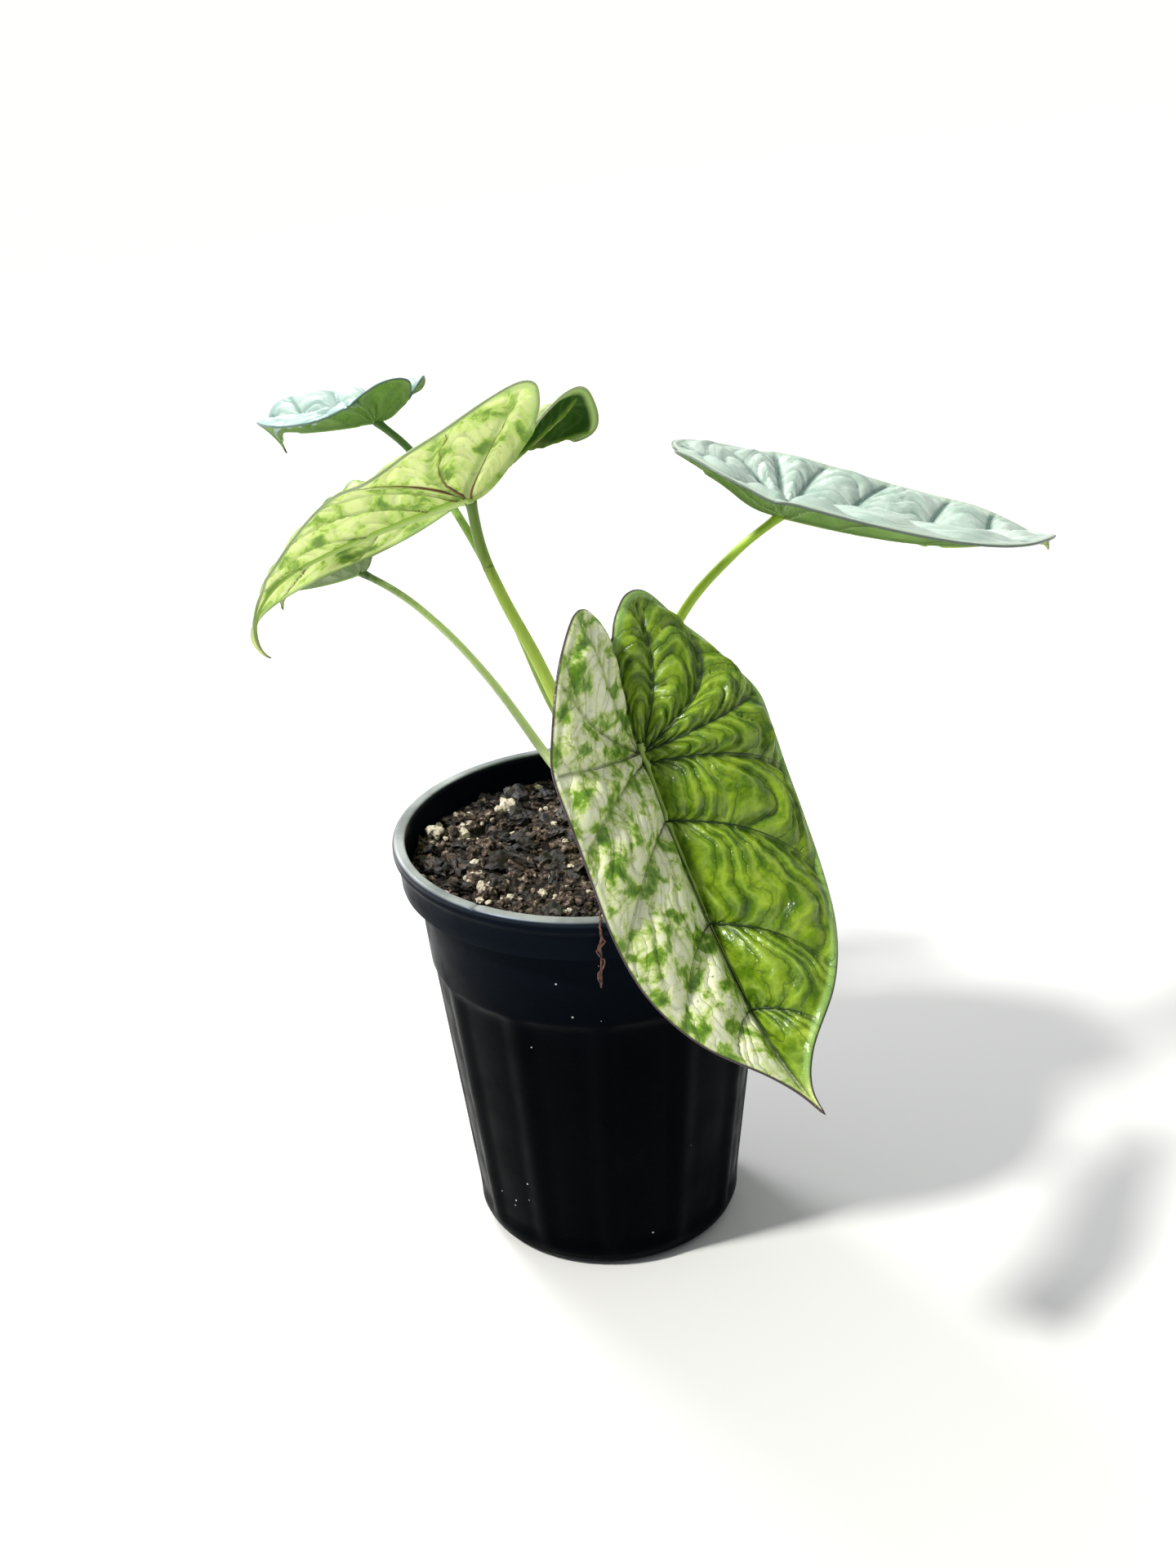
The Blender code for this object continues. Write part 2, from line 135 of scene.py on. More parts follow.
def softStep(x):
    x = np.clip(x, 0.0, 1.0)
    return x * x * (3 - 2 * x)


def deselectAll():
    if bpy.context.mode != "OBJECT":
        bpy.ops.object.mode_set(mode="OBJECT")
    bpy.ops.object.select_all(action="DESELECT")


def selectOnly(piece):
    deselectAll()
    bpy.context.view_layer.objects.active = piece
    piece.select_set(True)


def addPiece(name, data):
    piece = bpy.data.objects.new(name, data)
    bpy.context.scene.collection.objects.link(piece)
    return piece


def getPlaces(piece, kind="co"):
    flat = np.empty(len(piece.data.vertices) * 3)
    piece.data.vertices.foreach_get(kind, flat)
    return flat.reshape(-1, 3)


def setPlaces(piece, places):
    piece.data.vertices.foreach_set("co", np.asarray(places, float).ravel())
    piece.data.update()


def gridOf(name, across, down):
    # a flat grid with its corners at 0 and 1, and the share along each side for every vertex
    deselectAll()
    bpy.ops.mesh.primitive_grid_add(x_subdivisions=across, y_subdivisions=down, size=1, location=(0, 0, 0))
    piece = bpy.context.object
    piece.name = piece.data.name = name
    flat = getPlaces(piece) + 0.5
    return piece, flat[:, 0], flat[:, 1]


def setValues(piece, name, values):
    values = np.asarray(values, np.float32)
    kind = "FLOAT" if values.ndim == 1 else "FLOAT_VECTOR"
    held = piece.data.attributes.get(name) or piece.data.attributes.new(name, kind, "POINT")
    held.data.foreach_set("value" if values.ndim == 1 else "vector", values.ravel())


def getValues(piece, name):
    held = piece.data.attributes[name]
    wide = 1 if held.data_type == "FLOAT" else 3
    flat = np.empty(len(held.data) * wide, np.float32)
    held.data.foreach_get("value" if wide == 1 else "vector", flat)
    return flat if wide == 1 else flat.reshape(-1, 3)


def editAll(piece, *steps):
    # operators that work on the whole mesh, each with its settings
    selectOnly(piece)
    bpy.ops.object.mode_set(mode="EDIT")
    bpy.ops.mesh.select_all(action="SELECT")
    for step, settings in steps:
        step(**settings)
    bpy.ops.object.mode_set(mode="OBJECT")


def mergeSeams(piece):
    merge, clean = bpy.ops.mesh.remove_doubles, bpy.ops.mesh.dissolve_degenerate
    editAll(piece, (merge, {"threshold": 0.01 * mm}), (clean, {"threshold": 0.0001 * mm}))


def turnOut(piece):
    editAll(piece, (bpy.ops.mesh.normals_make_consistent, {"inside": False}))


def applyAll(piece):
    selectOnly(piece)
    for modifier in list(piece.modifiers):
        bpy.ops.object.modifier_apply(modifier=modifier.name)


def tubes(name, routes, sides):
    # round cords through lists of (place in metres, radius in metres), turned into one mesh
    line = bpy.data.curves.new(name, "CURVE")
    line.dimensions = "3D"
    line.bevel_depth = 1.0
    line.bevel_resolution = max(0, sides // 4 - 1)
    line.use_fill_caps = True
    for route in routes:
        run = line.splines.new("POLY")
        run.points.add(len(route) - 1)
        for point, (place, radius) in zip(run.points, route):
            point.co = (*place, 1.0)
            point.radius = radius
    selectOnly(addPiece(name, line))
    bpy.ops.object.convert(target="MESH")
    piece = bpy.context.object
    mergeSeams(piece)
    turnOut(piece)
    piece.data.shade_smooth()
    # how far along its route each place lies, for colours that change on the way
    stations = [(place, k / (len(route) - 1)) for route in routes for k, (place, _) in enumerate(route)]
    finder = KDTree(len(stations))
    for k, (place, _) in enumerate(stations):
        finder.insert(place, k)
    finder.balance()
    setValues(piece, "runShare", [stations[finder.find(v.co)[1]][1] for v in piece.data.vertices])
    return piece


def settle(piece, slot, *nodes):
    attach(piece, "root")
    if nodes:
        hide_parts(*nodes)


# Camera and light first
camera = dict(place=(0.0, -0.6142, 0.4378), pan=-0.055, tilt=-25.43, roll=-2.89, lens=52.5)


def placeCamera():
    pan, tilt, roll = (math.radians(camera[key]) for key in ("pan", "tilt", "roll"))
    ahead = Vector((math.sin(pan) * math.cos(tilt), math.cos(pan) * math.cos(tilt), math.sin(tilt)))
    right = Vector((math.cos(pan), -math.sin(pan), 0.0))
    up = right.cross(ahead)
    right, up = right * math.cos(roll) + up * math.sin(roll), up * math.cos(roll) - right * math.sin(roll)
    bpy.ops.object.camera_add(location=camera["place"])
    made = bpy.context.object
    made.rotation_euler = Matrix((right, up, -ahead)).transposed().to_euler()
    made.data.lens = camera["lens"]
    made.data.sensor_width = 36.0
    made.data.clip_start = 0.01
    bpy.context.scene.camera = made


def addLight(name, place, aim, size, power, colour):
    bpy.ops.object.light_add(type="AREA", location=place)
    made = bpy.context.object
    made.name = name
    made.rotation_euler = (Vector(aim) - Vector(place)).to_track_quat("-Z", "Y").to_euler()
    made.data.shape = "DISK"
    made.data.size = size
    made.data.energy = power
    made.data.color = toLinear(colour)[:3]


def makeStudio():
    placeCamera()
    scene = bpy.context.scene
    scene.view_settings.view_transform = "Standard"
    # a white room that is bright behind and above the plant and greyer behind the camera
    world = bpy.data.worlds.new("paleStudio")
    scene.world = world
    world.use_nodes = True
    tree = world.node_tree
    around = addNode(tree, "ShaderNodeTexCoord").outputs["Generated"]
    parts = addNode(tree, "ShaderNodeSeparateXYZ", {"Vector": around}).outputs
    back = mathOf(tree, "MULTIPLY_ADD", parts["Y"], 0.55, 0.35)
    high = mathOf(tree, "MULTIPLY_ADD", parts["Z"], 0.45, back)
    room = tree.nodes["Background"].inputs
    plug(tree, room["Color"], rampOf(tree, high, [(0.0, "#7A7F85"), (0.3, "#A9ADB2"), (0.75, "#FFFFFF")]))
    plug(tree, room["Strength"], 0.72)
    # the main light is far off, so that the floor is evenly lit
    bpy.ops.object.light_add(type="SUN", location=(-0.6, -0.3, 0.9))
    sun = bpy.context.object
    sun.name = "mainLight"
    sun.rotation_euler = Vector((0.6, 0.27, -0.82)).to_track_quat("-Z", "Y").to_euler()
    sun.data.energy = 3.6
    sun.data.angle = math.radians(7)
    sun.data.color = toLinear("#FFFDF6")[:3]
    addLight("backGlow", (-0.5, 0.75, 0.8), (0.0, 0.0, 0.2), 0.4, 8.0, "#FFFFFF")
    deselectAll()
    bpy.ops.mesh.primitive_plane_add(size=30.0, location=(0, 0, -0.0005))
    floor = bpy.context.object
    floor.name = "floor"
    made, tree = newMaterial("whitePaper")
    # plain matt paper, so that the shadow lies clean on it
    dress(tree, {"Roughness": 0.85, "Base Color": "#DCDCDC"})
    floor.data.materials.append(made)


makeStudio()
print("studio ready")

# Pot: black nursery pot, sizes in millimetres
pot = dict(
    rim=60.0, height=132.0, foot=40.6, footRound=4.0, collarFrom=93.0, collar=51.0, skirtFrom=118.6, skirt=58.0,
    neck=53.4, wall=1.9, floor=1.8, flutes=12, fluteDepth=1.1, fluteFrom=7.0, turns=288,
    wobble=0.12, nickAt=-36, nickWide=0.016, nickDeep=0.45,
    drainHoles=6, drainRadius=3.5, drainCircle=27.0, drainTurn=0.04,
)


def wallRadius(height):
    if height < pot["collarFrom"]:
        return pot["foot"] + (pot["collar"] - pot["foot"]) * height / pot["collarFrom"]
    share = (height - pot["collarFrom"]) / (pot["skirtFrom"] - pot["collarFrom"])
    return pot["collar"] + (pot["neck"] - pot["collar"]) * share


def arc(centre, radius, first, last, count):
    return [
        (centre[0] + radius * math.cos(math.radians(a)), centre[1] + radius * math.sin(math.radians(a)))
        for a in np.linspace(first, last, count)
    ]


def potProfile():
    # from the middle of the underside, up the outside, over the rim and down to the middle of the floor
    rim, top, wall, foot, curve = (pot[key] for key in ("rim", "height", "wall", "foot", "footRound"))
    collar, collarFrom, neck = (pot[key] for key in ("collar", "collarFrom", "neck"))
    skirt, skirtFrom, floor = (pot[key] for key in ("skirt", "skirtFrom", "floor"))
    innerRim, innerTop, innerFoot = rim - 3.8, wallRadius(skirtFrom) - wall, foot - wall
    line = [(0.0, 1.2), (6.0, 1.2), (6.5, 0.6), (8.0, 0.3), (20.0, 0.3), (33.0, 0.3), (34.0, 0.0)]
    line += arc((foot - curve, curve), curve, -90, -6, 8)
    line += [(wallRadius(h), h) for h in np.linspace(4.5, collarFrom - 1.6, 44)]
    line += [(collar + 0.05, collarFrom - 0.8), (collar + 0.1, collarFrom)]
    line += [(wallRadius(h) + 0.1, h) for h in np.linspace(collarFrom + 1.0, skirtFrom - 0.8, 8)]
    line += [(neck + 0.1, skirtFrom - 0.1), (neck + 0.5, skirtFrom)]
    line += [(skirt - 0.5, skirtFrom), (skirt - 0.12, skirtFrom + 0.12)]
    line += [(skirt, skirtFrom + 0.5), (skirt + 0.3, skirtFrom + 4.0)]
    line += [(skirt + 0.6, top - 5.6), (skirt + 0.8, top - 5.0), (skirt + 1.3, top - 4.4)]
    line += arc((rim - 1.3, top - 2.9), 1.3, -40, 0, 4) + arc((rim - 1.5, top - 1.5), 1.5, 0, 90, 8)
    line += [(rim - 2.4, top)] + arc((innerRim + 0.8, top - 0.8), 0.8, 90, 180, 5)
    line += [(innerRim - 0.25, top - 5.0), (innerRim - 0.6, skirtFrom + wall + 0.3)]
    line += [(innerTop, skirtFrom + wall - 0.8)]
    line += [(innerFoot + (innerTop - innerFoot) * s, 5 + 114.7 * s) for s in (0.8, 0.5, 0.2, 0.0)]
    line += [(foot - curve, floor), (20.0, floor), (0.0, floor)]
    return np.array(line)


def makePot():
    line = potProfile()
    piece, around, along = gridOf("nurseryPot", pot["turns"], len(line) - 1)
    index = np.rint(along * (len(line) - 1)).astype(int)
    radius, height = line[index, 0], line[index, 1]
    angle = around * 2 * math.pi
    outside = (radius > 30) & (index < np.argmax(line[:, 1]))
    fluted = outside & (height > pot["fluteFrom"] - 2) & (height < pot["collarFrom"] + 0.01)
    fade = softStep((height - pot["fluteFrom"] + 2) / 4) * softStep((pot["collarFrom"] - height) / 2.5)
    rib = np.maximum(0, np.cos(pot["flutes"] * angle)) ** 2
    radius = np.where(fluted, radius - pot["fluteDepth"] * (1 - rib) * fade, radius)
    # the mould left the rim very slightly out of round, and something has nicked its lip at the front left
    lip = softStep((height - 122) / 8)
    radius = radius + pot["wobble"] * np.sin(3 * angle + 0.7) * lip * outside
    away = (angle - math.radians(pot["nickAt"]) + math.pi) % (2 * math.pi) - math.pi
    height = height - pot["nickDeep"] * np.exp(-((away / pot["nickWide"]) ** 2)) * (height > 130.5)
    places = np.stack([radius * np.sin(angle), -radius * np.cos(angle), height], axis=1) * mm
    setPlaces(piece, places)
    mergeSeams(piece)
    turnOut(piece)
    cutters = []
    for k in range(pot["drainHoles"]):
        angle = math.pi * (2 * k + 1) / pot["drainHoles"] + pot["drainTurn"]
        place = Vector((math.sin(angle), math.cos(angle), 0)) * pot["drainCircle"] * mm
        deselectAll()
        bpy.ops.mesh.primitive_cylinder_add(
            vertices=40, radius=pot["drainRadius"] * mm, depth=8 * mm, location=place + Vector((0, 0, 1 * mm))
        )
        cutters.append(bpy.context.object)
        cut = piece.modifiers.new("drain", "BOOLEAN")
        cut.operation = "DIFFERENCE"
        cut.object = cutters[-1]
    applyAll(piece)
    for cutter in cutters:
        bpy.data.objects.remove(cutter, do_unlink=True)
    selectOnly(piece)
    piece.data.shade_smooth()
    bpy.ops.object.shade_smooth_by_angle(angle=math.radians(38))
    piece.data.materials.clear()
    piece.data.materials.append(potPlastic())
    settle(piece, "pot_plastic", "pot")


def potPlastic():
    # black polypropylene, injection moulded: satin, nearly black below, with a painted blue-grey sheen on the
    # collar
    made, tree = newMaterial("blackPolypropyleneMoulded")
    place = objectPlace(tree)
    height = addNode(tree, "ShaderNodeSeparateXYZ", {"Vector": place}).outputs["Z"]
    cloud = noiseOf(tree, place, 38.0, 5.0, 0.6)
    wall = rampOf(tree, cloud, [(0.3, "#010203"), (0.62, "#030406"), (0.8, "#07090D")])
    # painted sheen: the collar is tinted blue-grey as if it caught the light
    paintedCollarSheen = rangeOf(tree, height, 0.08, 0.124, most=0.55, soft=True)
    colour = mixOf(tree, paintedCollarSheen, wall, "#0E1620")
    # the lip shines more than the wall, and its top is painted pale grey: partly scuffing, partly a painted
    # highlight along the lip
    lip = rangeOf(tree, height, 0.1298, 0.1318, 0.02, 0.7, soft=True)
    scuffAndHighlight = rangeOf(tree, height, 0.1312, 0.13195, most=0.95, soft=True)
    patchy = rangeOf(tree, cloud, 0.35, 0.6, 0.45)
    colour = mixOf(tree, mathOf(tree, "MULTIPLY", scuffAndHighlight, patchy), colour, "#AEB2B4")
    # specks of potting dust, about 0.3 mm, thin on the wall
    speck = addNode(tree, "ShaderNodeTexVoronoi", {"Scale": 240.0, "Randomness": 1.0, "Vector": place}).outputs
    near = mathOf(tree, "LESS_THAN", speck["Distance"], 0.075)
    draw = addNode(tree, "ShaderNodeSeparateColor", {"Color": speck["Color"]}).outputs["Red"]
    few = mathOf(tree, "GREATER_THAN", draw, 0.9)
    colour = mixOf(tree, mathOf(tree, "MULTIPLY", near, few), colour, "#B9BDBE")
    # the wall is duller where it has been handled
    dull = rangeOf(tree, noiseOf(tree, place, 90.0, 3.0), 0.35, 0.7, 0.3, 0.5)
    grain = bumpOf(tree, noiseOf(tree, place, 1500.0, 2.0), 0.12, 0.0003)
    dress(tree, {
        "Base Color": colour, "Roughness": dull, "Normal": grain, "IOR": 1.49, "Specular Tint": "#B4CBEC",
        "Specular IOR Level": lip,
    })
    return made


makePot()
print("pot ready")

# Leaves: the outline of one half, from the drip tip round the lobe to the notch, in shares of the reach
leafShape = dict(
    outline=[
        (1.0, 0.0), (0.93, 0.022), (0.86, 0.075), (0.74, 0.195), (0.58, 0.285), (0.40, 0.335), (0.20, 0.362),
        (0.0, 0.372), (-0.14, 0.345), (-0.27, 0.27), (-0.36, 0.16), (-0.375, 0.085), (-0.335, 0.03), (-0.28, 0.0),
    ],
    veins=[
        ((0.0, 0.0), (-0.34, 0.11)), ((0.0, 0.0), (-0.24, 0.27)), ((0.0, 0.0), (-0.04, 0.365)),
        ((0.03, 0.0), (0.17, 0.36)), ((0.18, 0.0), (0.44, 0.32)), ((0.45, 0.0), (0.68, 0.23)),
        ((0.68, 0.0), (0.80, 0.13)),
    ],
    halfWidth=0.37, lobeReach=0.4, thickness=0.6, longest=108.9, quilt=2.6, quiltSpread=5.0, ridgeEvery=7.6,
    ridgeArch=7.0, ridgeSway=5.0, ridgeHigh=1.5, fineHigh=0.35, ridgeSunk=0.9, grooveDeep=0.6, grooveWide=0.6,
    beadHigh=0.55, beadWide=0.8, beadIn=1.1,
)
leaves = {
    "front": dict(
        at=(13.7, -65.9, 185.6), turn=(-3, 64, -48), reach=108.9, wide=(1.05, 1.03), arch=(-18, -27, -4),
        lobe=(-26, 32), sway=(-4, -10), twist=-8, left=(66, -19, -46, 13), right=(29, 1, -1, -26),
        cells=(300, 84), stem=(5.6, 3.4), root=(9.2, -5.2), way=((11.0, -17.0, 137.0), (12.5, -38.0, 160.0)),
        ridged=(1.35, 0.6),
    ),
    "centre": dict(
        at=(-28.7, -15.5, 241.5), turn=(36, 23, 121), reach=121.3, wide=(0.84, 1.01), arch=(21, 53, 96),
        lobe=(-38, -11), sway=(17, 32), twist=-2, left=(-6, -44, -15, -24), right=(78, 44, -26, -50),
        cells=(280, 80), stem=(5.6, 3.0), root=(2.4, -2.4),
        way=((-1.6, -5.5, 155.0), (-12.6, -8.7, 188.1), (-22.7, -11.7, 212.9), (-26.6, -13.0, 225.0)),
    ),
    "upper": dict(
        at=(-59.9, 66.0, 241.0), turn=(-14, 13, 156), reach=55.6, wide=(0.95, 0.87), arch=(10, -2, 90),
        lobe=(-38, 20), sway=(-28, -19), twist=-65, left=(81, -4, 0, 36), right=(74, -96, -31, 0),
        cells=(200, 50), stem=(3.7, 2.4), root=(6.2, 7.0),
        way=((-11.7, 31.6, 161.9), (-21.8, 44.3, 184.3), (-38.1, 57.2, 215.4), (-50.0, 63.0, 232.0)),
    ),
    "lower": dict(
        at=(-68.9, 66.0, 192.5), turn=(-6, 26, 135), reach=49.7, wide=(1.0, 1.0), arch=(-13, 3, 68),
        lobe=(-36, -1), sway=(0, 1), twist=-3, left=(48, 20, 0, 8), right=(53, 21, 0, 20),
        cells=(200, 46), stem=(3.7, 2.3), root=(1.2, 4.2),
        way=((-12.0, 24.1, 143.2), (-33.4, 47.5, 166.5), (-49.1, 57.6, 180.6), (-58.0, 62.0, 186.6)),
    ),
    "right": dict(
        at=(58.7, 10.1, 223.6), turn=(-3, 17, -4), reach=97.4, wide=(0.99, 1.0), arch=(-6, -21, 59),
        lobe=(-40, 38), sway=(24, 32), twist=4, left=(18, 11, -13, -8), right=(37, 3, -11, -3),
        cells=(260, 74), stem=(4.2, 2.6), root=(12.8, 2.0),
        way=((13.2, 3.8, 153.9), (28.2, 6.8, 193.8), (45.1, 8.7, 213.1)),
    ),
}


def leafTurn(leaf):
    return Euler([math.radians(a) for a in leaf["turn"]]).to_matrix()


def smoothOutline():
    keys = np.array(leafShape["outline"])
    keys = np.vstack([2 * keys[0] - keys[1], keys, 2 * keys[-1] - keys[-2]])
    fine = []
    for a, b, c, d in zip(keys, keys[1:], keys[2:], keys[3:]):
        for t in np.arange(0.0, 1.0, 0.05):
            even = (c - a) * t + (2 * a - 5 * b + 4 * c - d) * t**2 + (3 * b - a - 3 * c + d) * t**3
            fine.append(b + 0.5 * even)
    fine.append(keys[-2])
    fine = np.array(fine)
    run = np.concatenate([[0.0], np.cumsum(np.linalg.norm(np.diff(fine, axis=0), axis=1))])
    return fine, run / run[-1]


outlineLine, outlineRun = smoothOutline()


def veinLine(start, end):
    # a vein leaves the midrib steeply and bends towards the tip as it nears the margin
    start, end = np.array(start), np.array(end)
    bend = start + (end - start) * (0.22, 0.62)
    t = np.linspace(0.0, 1.0, 40)[:, None]
    return (1 - t) ** 2 * start + 2 * t * (1 - t) * bend + t**2 * end


def lineDistance(places, line):
    # distance from flat places to a line of straight steps
    best = np.full(len(places), 9e9)
    for a, b in zip(line, line[1:]):
        ahead = b - a
        t = np.clip(((places - a) @ ahead) / max(ahead @ ahead, 1e-12), 0, 1)
        best = np.minimum(best, np.linalg.norm(places - a - t[:, None] * ahead, axis=1))
    return best


def midribLine(leaf):
    lobes = np.linspace(-leafShape["lobeReach"] - 0.05, 0.0, 46)[:-1]
    share = np.concatenate([lobes, np.linspace(0.0, 1.0, 101)])
    ahead, behind = np.clip(share, 0, 1), np.clip(-share, 0, 1) / leafShape["lobeReach"]
    even, growing, hook = leaf["arch"]
    fall = even * ahead + growing * ahead**3 + hook * np.clip((ahead - 0.68) / 0.32, 0, 1) ** 1.5
    fall = np.radians(fall - leaf["lobe"][1] * behind - leaf["lobe"][0] * softStep(2.5 * behind))
    aside = np.radians(leaf["sway"][0] * ahead + leaf["sway"][1] * ahead**2)
    twist = np.radians(leaf["twist"] * ahead)[:, None]
    heading = np.stack([np.cos(aside), np.sin(aside), 0 * aside], axis=1)
    up = np.array([0.0, 0.0, 1.0])
    tangent = heading * np.cos(fall)[:, None] - up * np.sin(fall)[:, None]
    normal = heading * np.sin(fall)[:, None] + up * np.cos(fall)[:, None]
    side = np.cross(normal, tangent)
    side = side * np.cos(twist) + normal * np.sin(twist)
    steps = (tangent[1:] + tangent[:-1]) / 2 * np.diff(share)[:, None] * leaf["reach"]
    points = np.vstack([[0.0, 0.0, 0.0], np.cumsum(steps, axis=0)])
    points -= points[len(lobes)]
    return share, points, tangent, side


def bladePlaces(leaf, along, across):
    # the blade's upper face, in millimetres of the part, for shares of the reach along and across it
    share, points, tangent, side = midribLine(leaf)
    spot, forward, outward = (
        np.stack([np.interp(along, share, row) for row in rows.T], axis=1) for rows in (points, tangent, side)
    )
    upward = np.cross(forward, outward)
    first, last, lobe, tip = (np.where(across > 0, a, b) for a, b in zip(leaf["left"], leaf["right"]))
    more = lobe * softStep(-1.2 * along / leafShape["lobeReach"]) + tip * softStep(1.1 * along)
    start, end = np.radians(first + more), np.radians(last + more)
    curl = (end - start) / (leafShape["halfWidth"] * leaf["reach"])
    curl = np.where(np.abs(curl) < 1e-6, 1e-6, curl)
    angle = start + curl * np.abs(across) * leaf["reach"]
    out = (np.sin(angle) - np.sin(start)) / curl * np.sign(across)
    rise = (np.cos(start) - np.cos(angle)) / curl
    local = spot + outward * out[:, None] + upward * rise[:, None]
    return local @ np.array(leafTurn(leaf)).T + np.array(leaf["at"])


def bladeRelief(leaf, along, across, outShare):
    # height of the quilting, the scale-like ridges between the veins, the sunk veins and the thick margin
    reach, shape = leaf["reach"], leafShape
    size = reach / shape["longest"]
    flat = np.stack([along, np.abs(across)], axis=1)
    away = [lineDistance(flat, veinLine(*vein)) * reach for vein in shape["veins"]] + [np.abs(across) * reach]
    near, second = np.sort(np.array(away), axis=0)[:2]
    wide = np.where(across > 0, leaf["wide"][0], leaf["wide"][1])
    edge = lineDistance(np.stack([along, np.abs(across) / wide], axis=1), outlineLine[::4]) * reach
    quilt = shape["quilt"] * size * (1 - np.exp(-((near / (shape["quiltSpread"] * size)) ** 2)))
    quilt = quilt * softStep((1 - outShare) * 6) * softStep(near / 2)
    # ridges arch from vein to vein like scales, closer together towards the margin
    out = np.hypot(np.minimum(along, 0.0), across) * reach
    arch = np.sin(math.pi * near / (near + second + 0.01))
    warp = np.array([noise.noise(Vector((a * 9, b * 9, size))) for a, b in zip(along, across)])
    scale = out * 1.1 - shape["ridgeArch"] * size * arch + shape["ridgeSway"] * warp * size
    scale = scale / (shape["ridgeEvery"] * size)
    bulge = np.abs(np.sin(math.pi * scale))
    fine = np.abs(np.sin(math.pi * (scale * 2.0 + 0.35 + 2.0 * warp)))
    panel = softStep((near - 0.6) / (2.2 * size)) * softStep((edge - 2.0 * size) / (4.0 * size))
    strength = 0.55 + 0.45 * np.clip(out / (0.3 * reach), 0, 1)
    strength = strength * np.where(across > 0, *leaf.get("ridged", (1.0, 1.0)))
    ridges = shape["ridgeHigh"] * bulge**0.55 + shape["fineHigh"] * fine - shape["ridgeSunk"]
    ridges = ridges * size * panel * strength
    groove = np.exp(-((near / shape["grooveWide"]) ** 2)) * softStep((1 - outShare) * 14)
    bead = np.exp(-(((edge - shape["beadIn"]) / shape["beadWide"]) ** 2)) * softStep((outShare - 0.5) * 8)
    height = quilt + ridges - shape["grooveDeep"] * size * groove + shape["beadHigh"] * size * bead
    return height, dict(veinNear=near, edgeNear=edge, ridgeNear=bulge, scaleRun=scale)


def makeBlade(name):
    leaf = leaves[name]
    piece, around, outward = gridOf("leaf_" + name + "_blade", *leaf["cells"])
    half = np.where(around < 0.5, 2 * around, 2 * (1 - around))
    side = np.where(around < 0.5, 1.0, -1.0)
    wide = np.where(side > 0, leaf["wide"][0], leaf["wide"][1])
    outShare = outward**0.85
    along = np.interp(half, outlineRun, outlineLine[:, 0]) * outShare
    across = np.interp(half, outlineRun, outlineLine[:, 1]) * outShare * side * wide
    setPlaces(piece, bladePlaces(leaf, along, across) * mm)
    setValues(piece, "flatPlace", np.stack([along * leaf["reach"], across * leaf["reach"], outShare], axis=1))
    mergeSeams(piece)
    flat = getValues(piece, "flatPlace")
    along, across, outShare = flat[:, 0] / leaf["reach"], flat[:, 1] / leaf["reach"], flat[:, 2]
    normals = getPlaces(piece, "normal")
    if Vector(normals[np.argmin(outShare)]).dot(leafTurn(leaf) @ Vector((0, 0, 1))) < 0:
        piece.data.flip_normals()
        normals = -normals
    height, held = bladeRelief(leaf, along, across, outShare)
    setPlaces(piece, getPlaces(piece) + normals * height[:, None] * mm)
    for key, values in held.items():
        setValues(piece, key, values)
    setValues(piece, "alongShare", along)
    piece.data.shade_smooth()
    return piece


def onBlade(leaf, tree, flat, depth):
    # the spots of the finished blade nearest to flat places, moved out or in by a depth
    places = bladePlaces(leaf, flat[:, 0], flat[:, 1]) * mm
    found = []
    for place in places:
        spot, normal, _, _ = tree.find_nearest(Vector(place))
        found.append(spot + normal * depth * mm)
    return found


def makeVeins(name, blade):
    # thin cords along every vein: fine lines in the grooves of the upper face, raised ribs on the underside
    leaf = leaves[name]
    tree = BVHTree.FromPolygons([v.co for v in blade.data.vertices], [p.vertices[:] for p in blade.data.polygons])
    size = leaf["reach"] / leafShape["longest"]
    rib = np.stack([np.linspace(-0.02, 0.985, 90), np.full(90, 0.0004)], axis=1)
    runs = [(rib, "upperLeft", "midrib", 0.42, 1.25)]
    for vein in leafShape["veins"]:
        runs.append((veinLine(*vein) * (1, leaf["wide"][0]), "upperLeft", "under", 0.26, 0.42))
        runs.append((veinLine(*vein) * (1, -leaf["wide"][1]), "upperRight", "under", 0.2, 0.42))
    routes = dict(upperLeft=[], upperRight=[], midrib=[], under=[])
    for line, above, below, top, low in runs:
        line = line[: int(len(line) * 0.985)]
        taper = np.linspace(1.0, 0.3, len(line)) * size * mm
        routes[above].append(list(zip(onBlade(leaf, tree, line, -0.06), top * taper)))
        routes[below].append(list(zip(onBlade(leaf, tree, line, -leafShape["thickness"]), low * taper)))
    return {key: tubes("leaf_" + name + "_veins_" + key, listed, 8) for key, listed in routes.items()}


